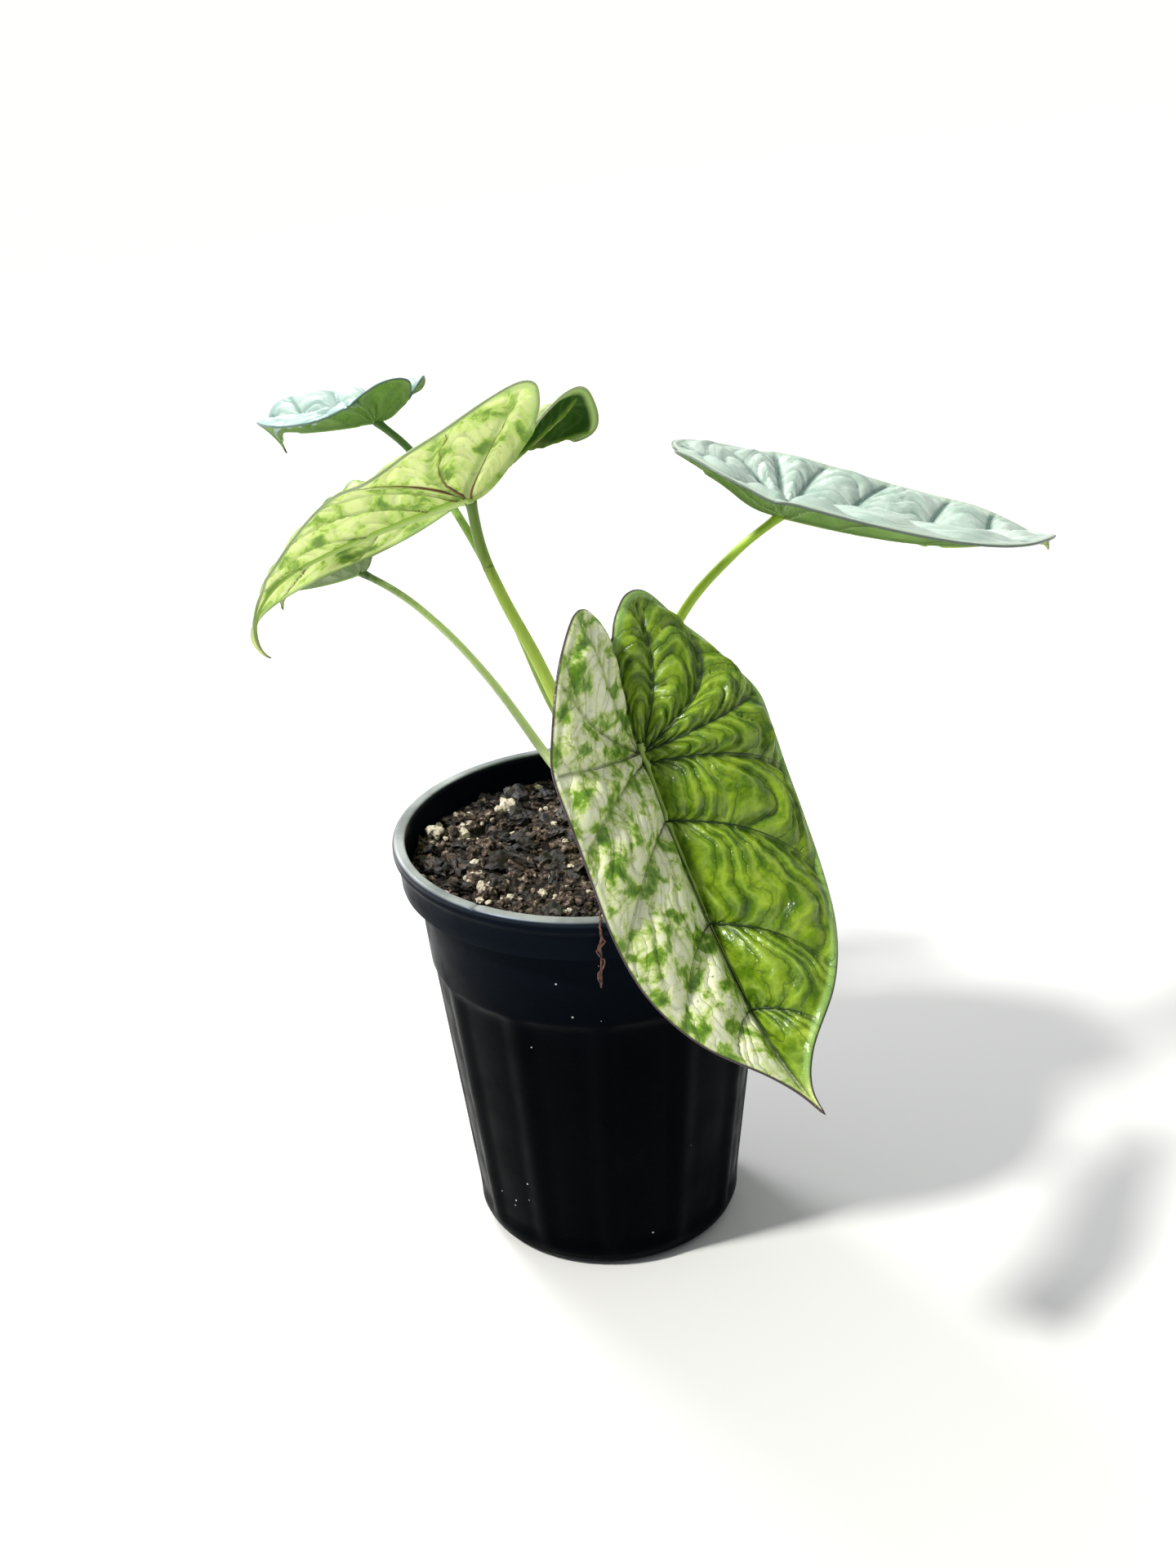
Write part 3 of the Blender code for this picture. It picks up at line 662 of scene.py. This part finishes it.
def bladeMaterial(name, look):
    # living leaf blade with its waxy skin: satin, thin enough to glow where light comes through from behind
    look = {**plainLook, "right": look["left"], "veinRight": look["veinLeft"], **look}
    made, tree = newMaterial(name)
    parts = addNode(tree, "ShaderNodeSeparateXYZ", {"Vector": meshValue(tree, "flatPlace", "Vector")}).outputs
    level = addNode(tree, "ShaderNodeCombineXYZ", {"X": parts["X"], "Y": parts["Y"]}).outputs["Vector"]
    onLeft = mathOf(tree, "GREATER_THAN", parts["Y"], 0.0)
    onRight = mathOf(tree, "LESS_THAN", parts["Y"], 0.0)
    patch = noiseOf(tree, level, 1.0 / look["patch"], 7.0, 0.62, 0.35)
    cloud = noiseOf(tree, level, 1.0 / 22.0, 3.0)
    left = rampOf(tree, patch, look["left"])
    right = rampOf(tree, patch if look["rightPatchy"] else cloud, look["right"])
    colour = mixOf(tree, onLeft, right, left)
    # small dark green freckles, about 1 mm, thicker where the patches are green
    freckle = noiseOf(tree, level, 1.0 / 1.7, 4.0, 0.7)
    dots = rangeOf(tree, freckle, 0.6, 0.68, most=look["freckles"])
    dotted = mathOf(tree, "MULTIPLY", dots, rangeOf(tree, cloud, 0.42, 0.6))
    if look["frecklesRightOnly"]:
        dotted = mathOf(tree, "MULTIPLY", dotted, onRight)
    colour = mixOf(tree, dotted, colour, look["freckle"])
    pale = look["pale"]
    if look["greenAndShadedLobe"]:
        # one lobe is plain green, also where light comes through it, and its near-black tone is painted shade from
        # the main lobe over it
        behind = rangeOf(tree, parts["X"], -12.0, -22.0, soft=True)
        lobe = mathOf(tree, "MULTIPLY", onRight, behind)
        colour = mixOf(tree, lobe, colour, look["greenAndShadedLobe"])
        pale = rangeOf(tree, lobe, least=pale, most=0.0)
    # the blade darkens into its veins, partly their own darker tissue and partly painted shade where the quilting
    # sinks into them, and painted shade darkens the furrows between its ridges
    vein = meshValue(tree, "veinNear")
    for key, rightShare, leftShare in (("veinLeft", 0.0, 1.0), ("veinRight", 1.0, 0.0)):
        shade, strength, reach = look[key]
        dark = rangeOf(tree, vein, 0.15, reach, strength, 0.0, soft=True)
        here = rangeOf(tree, onLeft, least=rightShare, most=leftShare)
        colour = mixOf(tree, mathOf(tree, "MULTIPLY", dark, here), colour, shade)
    furrowShade = look["furrowShade"]
    furrow = rangeOf(tree, meshValue(tree, "ridgeNear"), 0.0, 0.25, look["furrow"], 0.0)
    colour = mixOf(tree, furrow, colour, furrowShade, "MULTIPLY")
    # fine creases about 2.5 mm apart run with the ridges, darker in their folds, partly their own tone and partly
    # painted shade, and paler on their crests as a painted highlight
    sway = mathOf(tree, "MULTIPLY", noiseOf(tree, level, 0.16, 3.0, 0.6), 1.2)
    wave = mathOf(tree, "MULTIPLY_ADD", meshValue(tree, "scaleRun"), 1.5, sway)
    fold = mathOf(tree, "PINGPONG", wave, 0.5)
    linesLeft, linesRight = look["fineLines"]
    lined = rangeOf(tree, onLeft, least=linesRight, most=linesLeft)
    for blend, shade, low, high, least, most in (
        ("MULTIPLY", furrowShade, 0.0, 0.14, 1.0, 0.0),
        ("MIX", look["crestHighlight"], 0.28, 0.5, 0.0, look["crestHighlightShare"]),
    ):
        thread = mathOf(tree, "MULTIPLY", rangeOf(tree, fold, low, high, least, most), lined)
        colour = mixOf(tree, thread, colour, shade, blend)
    # the rolled margin is paler
    edge = meshValue(tree, "edgeNear")
    roll = rangeOf(tree, edge, 1.6, 3.0, look["roll"], 0.0, soft=True)
    rolled = rangeOf(tree, onLeft, least=look["rollRight"], most=1.0)
    colour = mixOf(tree, mathOf(tree, "MULTIPLY", roll, rolled), colour, look["rollShade"])
    # the drip tip is nearly without green
    drip = rangeOf(tree, meshValue(tree, "alongShare"), 0.885, 0.95, most=0.9, soft=True)
    colour = mixOf(tree, drip, colour, "#D6E48C")
    # the very edge is a thin dark line
    line = rangeOf(tree, edge, 0.25, 0.6, look["line"], 0.0)
    colour = mixOf(tree, line, colour, look["lineShade"])
    rough = look["rough"]
    shine = rangeOf(tree, cloud, 0.3, 0.7, rough - 0.07, rough + 0.07)
    # the same creases as relief, then skin cells drawn at 0.5 mm so that they show
    crease = bumpOf(tree, mathOf(tree, "POWER", fold, 0.45), look["wrinkle"], 0.0006)
    cells = addNode(tree, "ShaderNodeTexVoronoi", {"Scale": 2.0, "Vector": level}).outputs["Distance"]
    bump = bumpOf(tree, cells, 0.25, 0.00012, Normal=crease)
    surface = dress(tree, {
        "Base Color": colour, "Roughness": shine, "Normal": bump, "IOR": 1.42, "Coat Weight": look["wax"],
        "Coat Roughness": 0.32, "Coat IOR": 1.4,
    })
    # light that has come through two skins is paler than one skin's own colour
    thin = mixOf(tree, pale, colour, "#F6FBE4")
    through = addNode(tree, "ShaderNodeBsdfTranslucent", {"Color": thin, "Normal": bump}).outputs[0]
    both = addNode(tree, "ShaderNodeMixShader", {0: look["glow"], 1: surface, 2: through}).outputs[0]
    plug(tree, tree.nodes["Material Output"].inputs["Surface"], both)
    return made


# what a face has unless its own look says otherwise; a right half that isn't given is like the left one
plainLook = dict(
    patch=9.0, rightPatchy=False, freckles=0.5, frecklesRightOnly=False, freckle="#4E6E22", greenAndShadedLobe=None,
    furrow=0.35, furrowShade="#7E9A4E", fineLines=(0.12, 0.12), crestHighlight="#D8E8A8", crestHighlightShare=0.3, wrinkle=0.35,
    roll=0.7, rollRight=1.0, rollShade="#A9CF74", line=0.8, lineShade="#5B5348", rough=0.4, wax=0.25, glow=0.4,
    pale=0.35,
)
looks = {
    "frontUpper": dict(
        left=[(0.3, "#3A5A05"), (0.45, "#5C7F0D"), (0.6, "#88A621"), (0.75, "#B5CC4A")],
        right=[
            (0.36, "#56821A"), (0.43, "#7CA630"), (0.46, "#A6C45C"), (0.49, "#CFDE92"), (0.53, "#EBF1C0"),
            (0.6, "#F6F8DC"),
        ],
        rightPatchy=True, veinRight=("#6F8540", 0.6, 0.8), veinLeft=("#274706", 0.8, 1.3), patch=7.0, freckles=0.9,
        frecklesRightOnly=True, rollShade="#9CC46A", rollRight=0.15, lineShade="#4A3C3E", line=1.0, glow=0.16,
        rough=0.28, furrowShade="#869F48", fineLines=(0.5, 0.13), crestHighlight="#B4D250", crestHighlightShare=0.8,
        pale=0.1, wrinkle=1.0,
    ),
    "frontUnder": dict(
        left=[(0.3, "#8DB046"), (0.6, "#A5C562")], right=[(0.3, "#9DBF5A"), (0.48, "#CFE08F"), (0.6, "#E6EFC0")],
        veinLeft=("#5F7F2C", 0.4, 2.5), veinRight=("#7E9A45", 0.4, 2.0), roll=0.3, glow=0.35, rough=0.5, wax=0.05,
    ),
    # the right leaf's upper face: pale silvery green, partly the leaf's own silver tone and partly a painted
    # reflection of the bright room; its strong vein and furrow darkening is painted shade under the bulges
    "paleUpper": dict(
        left=[(0.3, "#9FBAAE"), (0.5, "#BFD2C8"), (0.65, "#D6E4DC")], veinLeft=("#2F5650", 0.9, 1.6),
        rollShade="#C2D2C0", lineShade="#46574C", freckles=0.3, freckle="#7A9C90", furrowShade="#8FAAA4",
        furrow=0.6, glow=0.12, rough=0.34, wax=0.3, pale=0.1,
    ),
    "centreUpper": dict(
        left=[(0.34, "#4E7A1C"), (0.44, "#6F9830"), (0.48, "#9DBA5C"), (0.56, "#C2D092")], rightPatchy=True,
        veinLeft=("#35560E", 0.6, 1.6), rollShade="#9CC46A", lineShade="#4A3C3E", glow=0.5, rough=0.36, furrow=0.4,
        pale=0.75,
    ),
    # a darker copy of the pale silvery upper face for the upper and lower leaves: painted shade, where the back
    # light reaches them strongly
    "paintedShadeUpper": dict(
        left=[(0.3, "#7C9C94"), (0.5, "#A2BCB6"), (0.65, "#C2D5D0")], veinLeft=("#45706A", 0.6, 1.3),
        rollShade="#9DBDB8", lineShade="#46605C", freckles=0.2, freckle="#7A9C90", furrowShade="#9DB8B0",
        furrow=0.3, glow=0.1, wax=0.1, pale=0.1,
    ),
    # the centre leaf's underside; the dark green of its one lobe is painted shade as well as plain green
    "centreUnder": dict(
        left=[(0.36, "#6C9C1C"), (0.43, "#A6CC38"), (0.47, "#E2F486"), (0.54, "#FAFDC6")], rightPatchy=True,
        veinLeft=("#8DB43A", 0.5, 1.4), freckle="#5E8A22", rollShade="#C0D894", lineShade="#7D7A52", line=0.35,
        furrow=0.3, glow=0.84, rough=0.5, wax=0.05, pale=0.22, greenAndShadedLobe="#27480F",
    ),
    "greenUnder": dict(
        left=[(0.3, "#82B048"), (0.6, "#A0C868")], veinLeft=("#4E762C", 0.4, 1.4), rollShade="#A9C97C",
        lineShade="#6D7F4C", freckles=0.3, furrow=0.25, line=0.4, rough=0.5, wax=0.05, pale=0.2,
    ),
    "greyUnder": dict(
        left=[(0.3, "#8FA872"), (0.6, "#B0C690")], veinLeft=("#6A8452", 0.4, 1.4), rollShade="#C5DAA4",
        lineShade="#77875C", freckles=0.3, furrow=0.25, glow=0.35, rough=0.5, wax=0.05, pale=0.2,
    ),
}
faces = {
    "front": ("frontUpper", "frontUnder"),
    "centre": ("centreUpper", "centreUnder"),
    "upper": ("paintedShadeUpper", "greenUnder"),
    "lower": ("paintedShadeUpper", "greyUnder"),
    "right": ("paleUpper", "greenUnder"),
}
bladeMaterials = {key: bladeMaterial("leafBlade_" + key, look) for key, look in looks.items()}


def veinMaterial(name, stops, rough):
    # vein tissue: firmer and smoother than the blade, changing colour from the midrib to the margin
    made, tree = newMaterial(name)
    drift = mathOf(tree, "MULTIPLY_ADD", noiseOf(tree, objectPlace(tree), 160.0, 3.0), 0.5, -0.25)
    moved = mathOf(tree, "ADD", drift, meshValue(tree, "runShare"))
    dress(tree, {"Base Color": rampOf(tree, moved, stops), "Roughness": rough, "IOR": 1.42})
    return made


veinLooks = {
    "dark": ([(0.0, "#1E3A0C"), (0.5, "#22380E"), (1.0, "#3B5223")], 0.42),
    "olive": ([(0.0, "#4B5531"), (0.5, "#5E6B3A"), (1.0, "#8A9A5C")], 0.45),
    "teal": ([(0.0, "#3E6A5C"), (1.0, "#7FA598")], 0.45),
    "red": ([(0.0, "#6B3F2C"), (0.35, "#7A563A"), (0.7, "#9CA658")], 0.5),
    "pale": ([(0.0, "#B4D070"), (1.0, "#A9C567")], 0.5),
    "green": ([(0.0, "#7FA350"), (1.0, "#94B468")], 0.5),
}
veinMaterials = {key: veinMaterial("veinTissue" + key.title(), *look) for key, look in veinLooks.items()}
veinKinds = {
    "front": dict(upperLeft="dark", upperRight="olive", under="green", midrib="pale"),
    "centre": dict(upperLeft="dark", upperRight="dark", under="red", midrib="pale"),
    "upper": dict(upperLeft="teal", upperRight="teal", under="green", midrib="green"),
    "lower": dict(upperLeft="teal", upperRight="teal", under="green", midrib="green"),
    "right": dict(upperLeft="teal", upperRight="teal", under="green", midrib="pale"),
}

for leafName in leaves:
    blade = makeBlade(leafName)
    for key, vein in makeVeins(leafName, blade).items():
        vein.data.materials.append(veinMaterials[veinKinds[leafName][key]])
        settle(vein, "leaf_" + leafName)
    thick = blade.modifiers.new("thickness", "SOLIDIFY")
    thick.thickness = leafShape["thickness"] * mm
    thick.offset = -1.0
    thick.material_offset = 1
    for key in faces[leafName]:
        blade.data.materials.append(bladeMaterials[key])
    applyAll(blade)
    settle(blade, "leaf_" + leafName, "leaf_" + leafName)
    print("leaf", leafName, len(blade.data.polygons), "faces")

# Stems and crown
crown = dict(radius=9.0, top=126.0, foot=98.0, middle=(7.0, 1.0))
soil = dict(top=122.0, cells=180, radius=55.1, swell=1.6, clods=1.5, grainsTo=54.0, grainsEnd=54.9)
stalk = dict(footSwell=0.9, footReach=9.0, neckSwell=0.35, neckReach=2.5)


def stemRoute(leaf):
    down = leafTurn(leaf) @ Vector((0.0, 0.0, -1.0))
    foot = Vector((*leaf["root"], crown["top"]))
    route = [foot, foot + Vector((0.0, 0.0, 5.0))] + [Vector(p) for p in leaf["way"]]
    return route + [Vector(leaf["at"]) + down * 0.4]


def makeStem(name):
    leaf = leaves[name]
    route = stemRoute(leaf)
    line = bpy.data.curves.new("guide", "CURVE")
    line.dimensions = "3D"
    line.resolution_u = 14
    run = line.splines.new("BEZIER")
    run.bezier_points.add(len(route) - 1)
    for point, place in zip(run.bezier_points, route):
        point.co = place * mm
        point.handle_left_type = point.handle_right_type = "AUTO"
    run.bezier_points[0].handle_right_type = "VECTOR"
    guide = addPiece("guide", line)
    bpy.context.view_layer.update()
    flat = guide.to_mesh()
    path = [v.co.copy() for v in flat.vertices]
    guide.to_mesh_clear()
    bpy.data.objects.remove(guide, do_unlink=True)
    done = [0.0]
    for a, b in zip(path, path[1:]):
        done.append(done[-1] + (b - a).length)
    thick, thin = leaf["stem"]
    radii = []
    for d in done:
        radius = (thick + (thin - thick) * (d / done[-1]) ** 0.6) / 2
        radius += stalk["footSwell"] * math.exp(-((d / mm / stalk["footReach"]) ** 2))
        radius += stalk["neckSwell"] * math.exp(-(((done[-1] - d) / mm / stalk["neckReach"]) ** 2))
        radii.append(radius * mm)
    return tubes("stem_" + name + "_stalk", [list(zip(path, radii))], 24)


def stemMaterial(name, stops, scar):
    # leaf stem: a smooth round stalk with fine lengthwise streaks, dark towards the blade and pale at its foot
    made, tree = newMaterial(name)
    run, place = meshValue(tree, "runShare"), objectPlace(tree)
    streak = noiseOf(tree, stretched(tree, place, (900.0, 900.0, 45.0)), 1.0, 4.0)
    moved = mathOf(tree, "ADD", mathOf(tree, "MULTIPLY_ADD", streak, 0.22, -0.11), run)
    colour = rampOf(tree, moved, stops)
    if scar:
        # a healed nick: a thin dark band part of the way round
        away = mathOf(tree, "ABSOLUTE", mathOf(tree, "SUBTRACT", run, scar))
        band = rangeOf(tree, away, 0.006, 0.014, 0.9, 0.0)
        part = rangeOf(tree, noiseOf(tree, place, 260.0, 2.0), 0.36, 0.48)
        colour = mixOf(tree, mathOf(tree, "MULTIPLY", band, part), colour, "#2F3A18")
    dress(tree, {
        "Base Color": colour, "Roughness": 0.42, "IOR": 1.42, "Normal": bumpOf(tree, streak, 0.2, 0.0002),
        "Coat Weight": 0.2, "Coat Roughness": 0.3, "Subsurface Weight": 0.15, "Subsurface Scale": 1.0,
        "Subsurface Radius": (0.0012, 0.002, 0.0005),
    })
    return made


stemLooks = {
    "front": [(0.0, "#C9DB8E"), (0.5, "#A9CB5A"), (1.0, "#9BBE3E")],
    "centre": [(0.0, "#DAEE70"), (0.4, "#CDE65C"), (0.68, "#ADCC48"), (0.8, "#7C9A30"), (1.0, "#5C7C22")],
    "upper": [(0.0, "#C4DA7E"), (0.5, "#A8C860"), (0.8, "#5F8A40"), (1.0, "#527A3A")],
    "lower": [(0.0, "#DDEEB0"), (0.65, "#D6EAA6"), (0.88, "#94AE6A"), (1.0, "#4E6A34")],
    "right": [(0.0, "#CFE666"), (0.5, "#B6D448"), (1.0, "#98BC2A")],
}
for leafName in leaves:
    stem = makeStem(leafName)
    scar = 0.77 if leafName == "centre" else None
    stem.data.materials.append(stemMaterial("leafStem_" + leafName, stemLooks[leafName], scar))
    settle(stem, "leaf_stem", "stem_" + leafName)
print("stems ready")


def makeCrown():
    piece, around, along = gridOf("crownStump", 96, 30)
    wide, foot, top = crown["radius"], crown["foot"], crown["top"]
    line = np.array([
        (0.0, foot), (6.5, foot), (8.4, 100.0), (wide, 103.0), (wide, 112.0), (wide, 121.0), (wide, 122.2),
        (9.4, 123.6), (wide, 125.0), (8.7, 125.8), (7.6, 126.2), (4.0, top), (0.0, top),
    ])
    place = along * (len(line) - 1)
    radius = np.interp(place, np.arange(len(line)), line[:, 0])
    height = np.interp(place, np.arange(len(line)), line[:, 1])
    angle = around * 2 * math.pi
    shown = softStep((height - 121.5) / 1.5)
    radius = radius - 0.5 * np.abs(np.sin(2.5 * angle)) * shown * (radius > 3)
    radius = radius + 0.15 * np.sin(height * 5.2) * shown * (radius > 6)
    x, y = radius * np.sin(angle) + crown["middle"][0], crown["middle"][1] - radius * np.cos(angle)
    setPlaces(piece, np.stack([x, y, height], axis=1) * mm)
    mergeSeams(piece)
    turnOut(piece)
    piece.data.shade_smooth()
    # sheath tissue at the base of the stems: papery, pale green going brown in rings
    made, tree = newMaterial("crownSheath")
    band = noiseOf(tree, stretched(tree, objectPlace(tree), (90.0, 90.0, 700.0)), 1.0, 5.0)
    colour = rampOf(tree, band, [(0.3, "#5B4630"), (0.5, "#8E8A55"), (0.7, "#B4BF78")])
    dress(tree, {"Base Color": colour, "Roughness": 0.6, "IOR": 1.42, "Normal": bumpOf(tree, band, 0.5, 0.0004)})
    piece.data.materials.append(made)
    settle(piece, "crown_sheath", "crown")


makeCrown()
print("crown ready")

# Potting mix: a clumpy surface under loose crumbs, bark and perlite


def crownGap(x, y):
    return math.hypot(x - crown["middle"][0], y - crown["middle"][1]) - crown["radius"]


def soilHeight(x, y):
    rolling = math.sin(0.19 * x + 1.3) * math.cos(0.23 * y - 0.4) + 0.6 * math.sin(0.41 * x - 0.33 * y)
    crumbs = math.sin(1.07 * x + 0.9 * math.sin(0.8 * y)) * math.cos(0.93 * y + 1.1 * math.sin(0.7 * x))
    high = soil["swell"] * (0.45 * rolling + 0.35 * crumbs)
    high += soil["clods"] * noise.fractal(Vector((x * 0.16, y * 0.16, 3.1)), 1.0, 2.0, 5)
    out = math.hypot(x, y)
    # level at the pot's wall and round the crown
    high *= min(1.0, max(0.0, (soil["radius"] - out) / 4))
    return high * min(1.0, max(0.0, crownGap(x, y) / 2.5))


def grainMaterial(name, stops, scale, rough, depth, strength=0.6, detail=6.0, grit=0.7, ior=1.45):
    # one noise both colours and roughens the surface: high grains are painted pale as highlight and hollows
    # painted dark as shade
    made, tree = newMaterial(name)
    grain = noiseOf(tree, objectPlace(tree), scale, detail, grit)
    bump = bumpOf(tree, grain, strength, depth)
    dress(tree, {"Base Color": rampOf(tree, grain, stops), "Roughness": rough, "IOR": ior, "Normal": bump})
    return made


def makeSoil():
    piece, across, down = gridOf("pottingMixBody", soil["cells"], soil["cells"])
    u, v = across * 2 - 1, down * 2 - 1
    # the square grid is laid out as a disc
    x = u * np.sqrt(1 - v * v / 2) * soil["radius"]
    y = v * np.sqrt(1 - u * u / 2) * soil["radius"]
    z = np.array([soil["top"] + soilHeight(a, b) for a, b in zip(x, y)])
    setPlaces(piece, np.stack([x, y, z], axis=1) * mm)
    selectOnly(piece)
    bpy.ops.object.mode_set(mode="EDIT")
    bpy.ops.mesh.select_mode(type="EDGE")
    bpy.ops.mesh.select_all(action="DESELECT")
    bpy.ops.mesh.select_non_manifold()
    # under the disc: in past the pot's wall, down its taper and in to its floor
    for drop, share in ((-1.6, 0.927), (-114.0, 0.75), (-4.0, 0.94)):
        bpy.ops.mesh.extrude_edges_move(TRANSFORM_OT_translate={"value": (0, 0, drop * mm)})
        bpy.ops.transform.resize(value=(share, share, 1), center_override=(0, 0, 0))
    bpy.ops.mesh.edge_face_add()
    bpy.ops.object.mode_set(mode="OBJECT")
    turnOut(piece)
    piece.data.shade_smooth()
    # damp coir and bark fines: nearly black brown, rough, with paler fibres; the high grains are painted pale as
    # highlight and the hollows dark as shade
    piece.data.materials.append(grainMaterial(
        "pottingMix", [(0.36, "#070504"), (0.5, "#1E1714"), (0.61, "#51433A"), (0.73, "#B3A598")], 620.0, 0.88,
        0.0009, strength=0.9, detail=8.0, grit=0.75, ior=1.4,
    ))
    settle(piece, "potting_mix", "soil")


makeSoil()


def scatter(name, count, sizes, flatness, seed, made, faces, jag, spots=(), sink=0.3):
    # loose pieces of the mix: one lump is cut, and each copy is turned, sized and roughened by its own draw
    draw = random.Random(seed)
    deselectAll()
    bpy.ops.mesh.primitive_ico_sphere_add(subdivisions=faces, radius=1.0)
    lump = bpy.context.object
    shape = getPlaces(lump)
    cells = [tuple(p.vertices) for p in lump.data.polygons]
    bpy.data.objects.remove(lump, do_unlink=True)
    places, polygons, end = [], [], soil["grainsEnd"]
    spots = list(spots)
    while len(spots) < count:
        out, angle = soil["grainsTo"] * math.sqrt(draw.random()), draw.random() * 2 * math.pi
        x, y = out * math.cos(angle), out * math.sin(angle)
        if crownGap(x, y) > 2.0:
            spots.append((x, y, draw.uniform(*sizes)))
    for x, y, size in spots:
        turn = Euler([draw.uniform(0, 6.3) for _ in range(3)]).to_matrix()
        tilt = Euler((draw.uniform(-0.5, 0.5), draw.uniform(-0.5, 0.5), draw.uniform(0, 6.3))).to_matrix()
        stretch = Vector((draw.uniform(0.8, 1.25), draw.uniform(0.7, 1.0), flatness * draw.uniform(0.8, 1.2)))
        shift = Vector((draw.uniform(0, 99), draw.uniform(0, 99), 0))
        start = len(places)
        middle = Vector((x, y, soil["top"] + soilHeight(x, y) + size * flatness * (0.5 - sink)))
        for p in shape:
            spot = turn @ Vector(p)
            spot = spot * (1 + jag * noise.noise(spot * 1.7 + shift))
            spot = tilt @ Vector((spot.x * stretch.x, spot.y * stretch.y, spot.z * stretch.z))
            spot = middle + spot * size / 2
            out = math.hypot(spot.x, spot.y)
            if out > end:
                spot.x, spot.y = spot.x * end / out, spot.y * end / out
            places.append(spot * mm)
        polygons += [tuple(start + k for k in cell) for cell in cells]
    mesh = bpy.data.meshes.new(name)
    mesh.from_pydata(places, [], polygons)
    piece = addPiece(name, mesh)
    turnOut(piece)
    mesh.materials.append(made)
    settle(piece, "potting_mix")


# loose bits of coir: brown, painted pale on their high sides as highlight and dark in their hollows as shade
crumbMaterial = grainMaterial(
    "coirCrumbs", [(0.36, "#0A0706"), (0.48, "#2E231D"), (0.59, "#77665A"), (0.72, "#D2C6B9")], 420.0, 0.85, 0.0007
)
# bark: nearly black chips with a slight shine, painted paler on their high sides as highlight
barkMaterial = grainMaterial(
    "barkChips", [(0.3, "#060505"), (0.5, "#14100F"), (0.68, "#4E4039")], 260.0, 0.42, 0.0012
)
# perlite: chalky cream grains, darker in their pits as painted shade
perliteMaterial = grainMaterial(
    "perliteGrains", [(0.25, "#8F8373"), (0.45, "#C4B8A6"), (0.65, "#EAE2D4")], 620.0, 0.85, 0.0006
)
# the grains that catch the eye: middle x and y, and width
largeGrains = [
    (-48.4, 15.5, 5.0), (-39.9, 16.3, 4.2), (-26.2, 31.3, 6.5), (-23.0, 28.7, 4.5), (-28.5, 29.5, 3.5),
    (-35.9, -3.8, 2.6), (-34.3, -10.8, 2.8), (-31.2, -16.8, 2.4), (-33.3, -20.7, 3.2), (-24.4, -25.7, 2.6),
    (-20.4, -5.5, 3.6), (-15.6, -24.6, 3.4), (-12.0, -25.5, 2.6), (-7.0, -11.7, 3.0), (-16.4, 45.6, 2.4),
    (24.0, 30.0, 4.0), (36.0, 8.0, 3.4), (20.0, -34.0, 3.8), (41.0, -20.0, 3.0),
]
largeChips = [(-12.8, -5.8, 10.0), (-21.5, 11.4, 9.0), (-29.0, -16.0, 7.0), (-6.0, 24.0, 11.0), (28.0, -14.0, 9.0)]
scatter("soilCrumbs", 1500, (1.0, 4.0), 0.75, 21, crumbMaterial, 2, 0.75)
scatter("soilBark", 150, (3.5, 8.5), 0.5, 22, barkMaterial, 3, 0.95, largeChips)
scatter("soilPerlite", 240, (0.8, 2.4), 0.8, 23, perliteMaterial, 3, 0.55, largeGrains, sink=0.1)
print("potting mix ready")

# Dried rootlet over the rim at the front
rootlet = dict(angle=-89.0, radius=0.55, clear=0.55, hair=0.22)


def makeRootlet():
    rim, top, clear = pot["rim"], pot["height"], rootlet["clear"]
    keys = [
        (rim - 2.6, top + clear + 0.1, 0.0, 0.5), (rim - 0.6, top + clear - 0.1, 0.0, 0.6),
        (rim + clear + 0.1, top - 1.6, -0.3, 0.6), (rim + clear + 0.2, top - 5.0, 0.1, 0.8),
        (rim + clear - 0.2, top - 8.0, -0.7, 1.1), (rim + clear - 0.5, top - 11.0, -0.3, 0.5),
        (rim + clear - 0.8, top - 15.0, -0.5, 0.5), (rim + clear - 1.6, top - 19.0, -0.8, 1.1),
        (rim + clear - 2.2, top - 22.0, -0.7, 0.3),
    ]
    turn = Matrix.Rotation(math.radians(rootlet["angle"]), 3, "Z")
    fine = []
    for a, b in zip(keys, keys[1:]):
        for t in np.linspace(0, 1, 9)[:-1]:
            fine.append([p + (q - p) * (t * t * (3 - 2 * t)) for p, q in zip(a, b)])
    fine.append(list(keys[-1]))
    route, side = [], []
    for k, (out, height, aside, thick) in enumerate(fine):
        wander = 0.25 * noise.noise(Vector((k * 0.31, 4.0, 0.0)))
        place = turn @ Vector((out + wander * 0.5, aside + wander, height)) * mm
        route.append((place, rootlet["radius"] * thick * (1 + 0.3 * noise.noise(Vector((k * 0.9, 0, 0)))) * mm))
    # a hair root twines round it on its way down
    for k, (out, height, aside, _) in enumerate(fine[20:58]):
        twist = 0.9 * math.sin(k * 0.35)
        side.append((turn @ Vector((out + 0.5, aside + twist, height - 0.6)) * mm, rootlet["hair"] * mm))
    piece = tubes("driedRootlet", [route, side], 12)
    # a dry root: brown, matt and finely wrinkled, with painted shade in its wrinkles and painted highlight on
    # their tops
    piece.data.materials.append(grainMaterial(
        "driedRoot", [(0.3, "#2E1B16"), (0.5, "#5A3B33"), (0.7, "#8A6251")], 900.0, 0.7, 0.0003
    ))
    settle(piece, "dry_root", "rootlet")


makeRootlet()
print("rootlet ready")
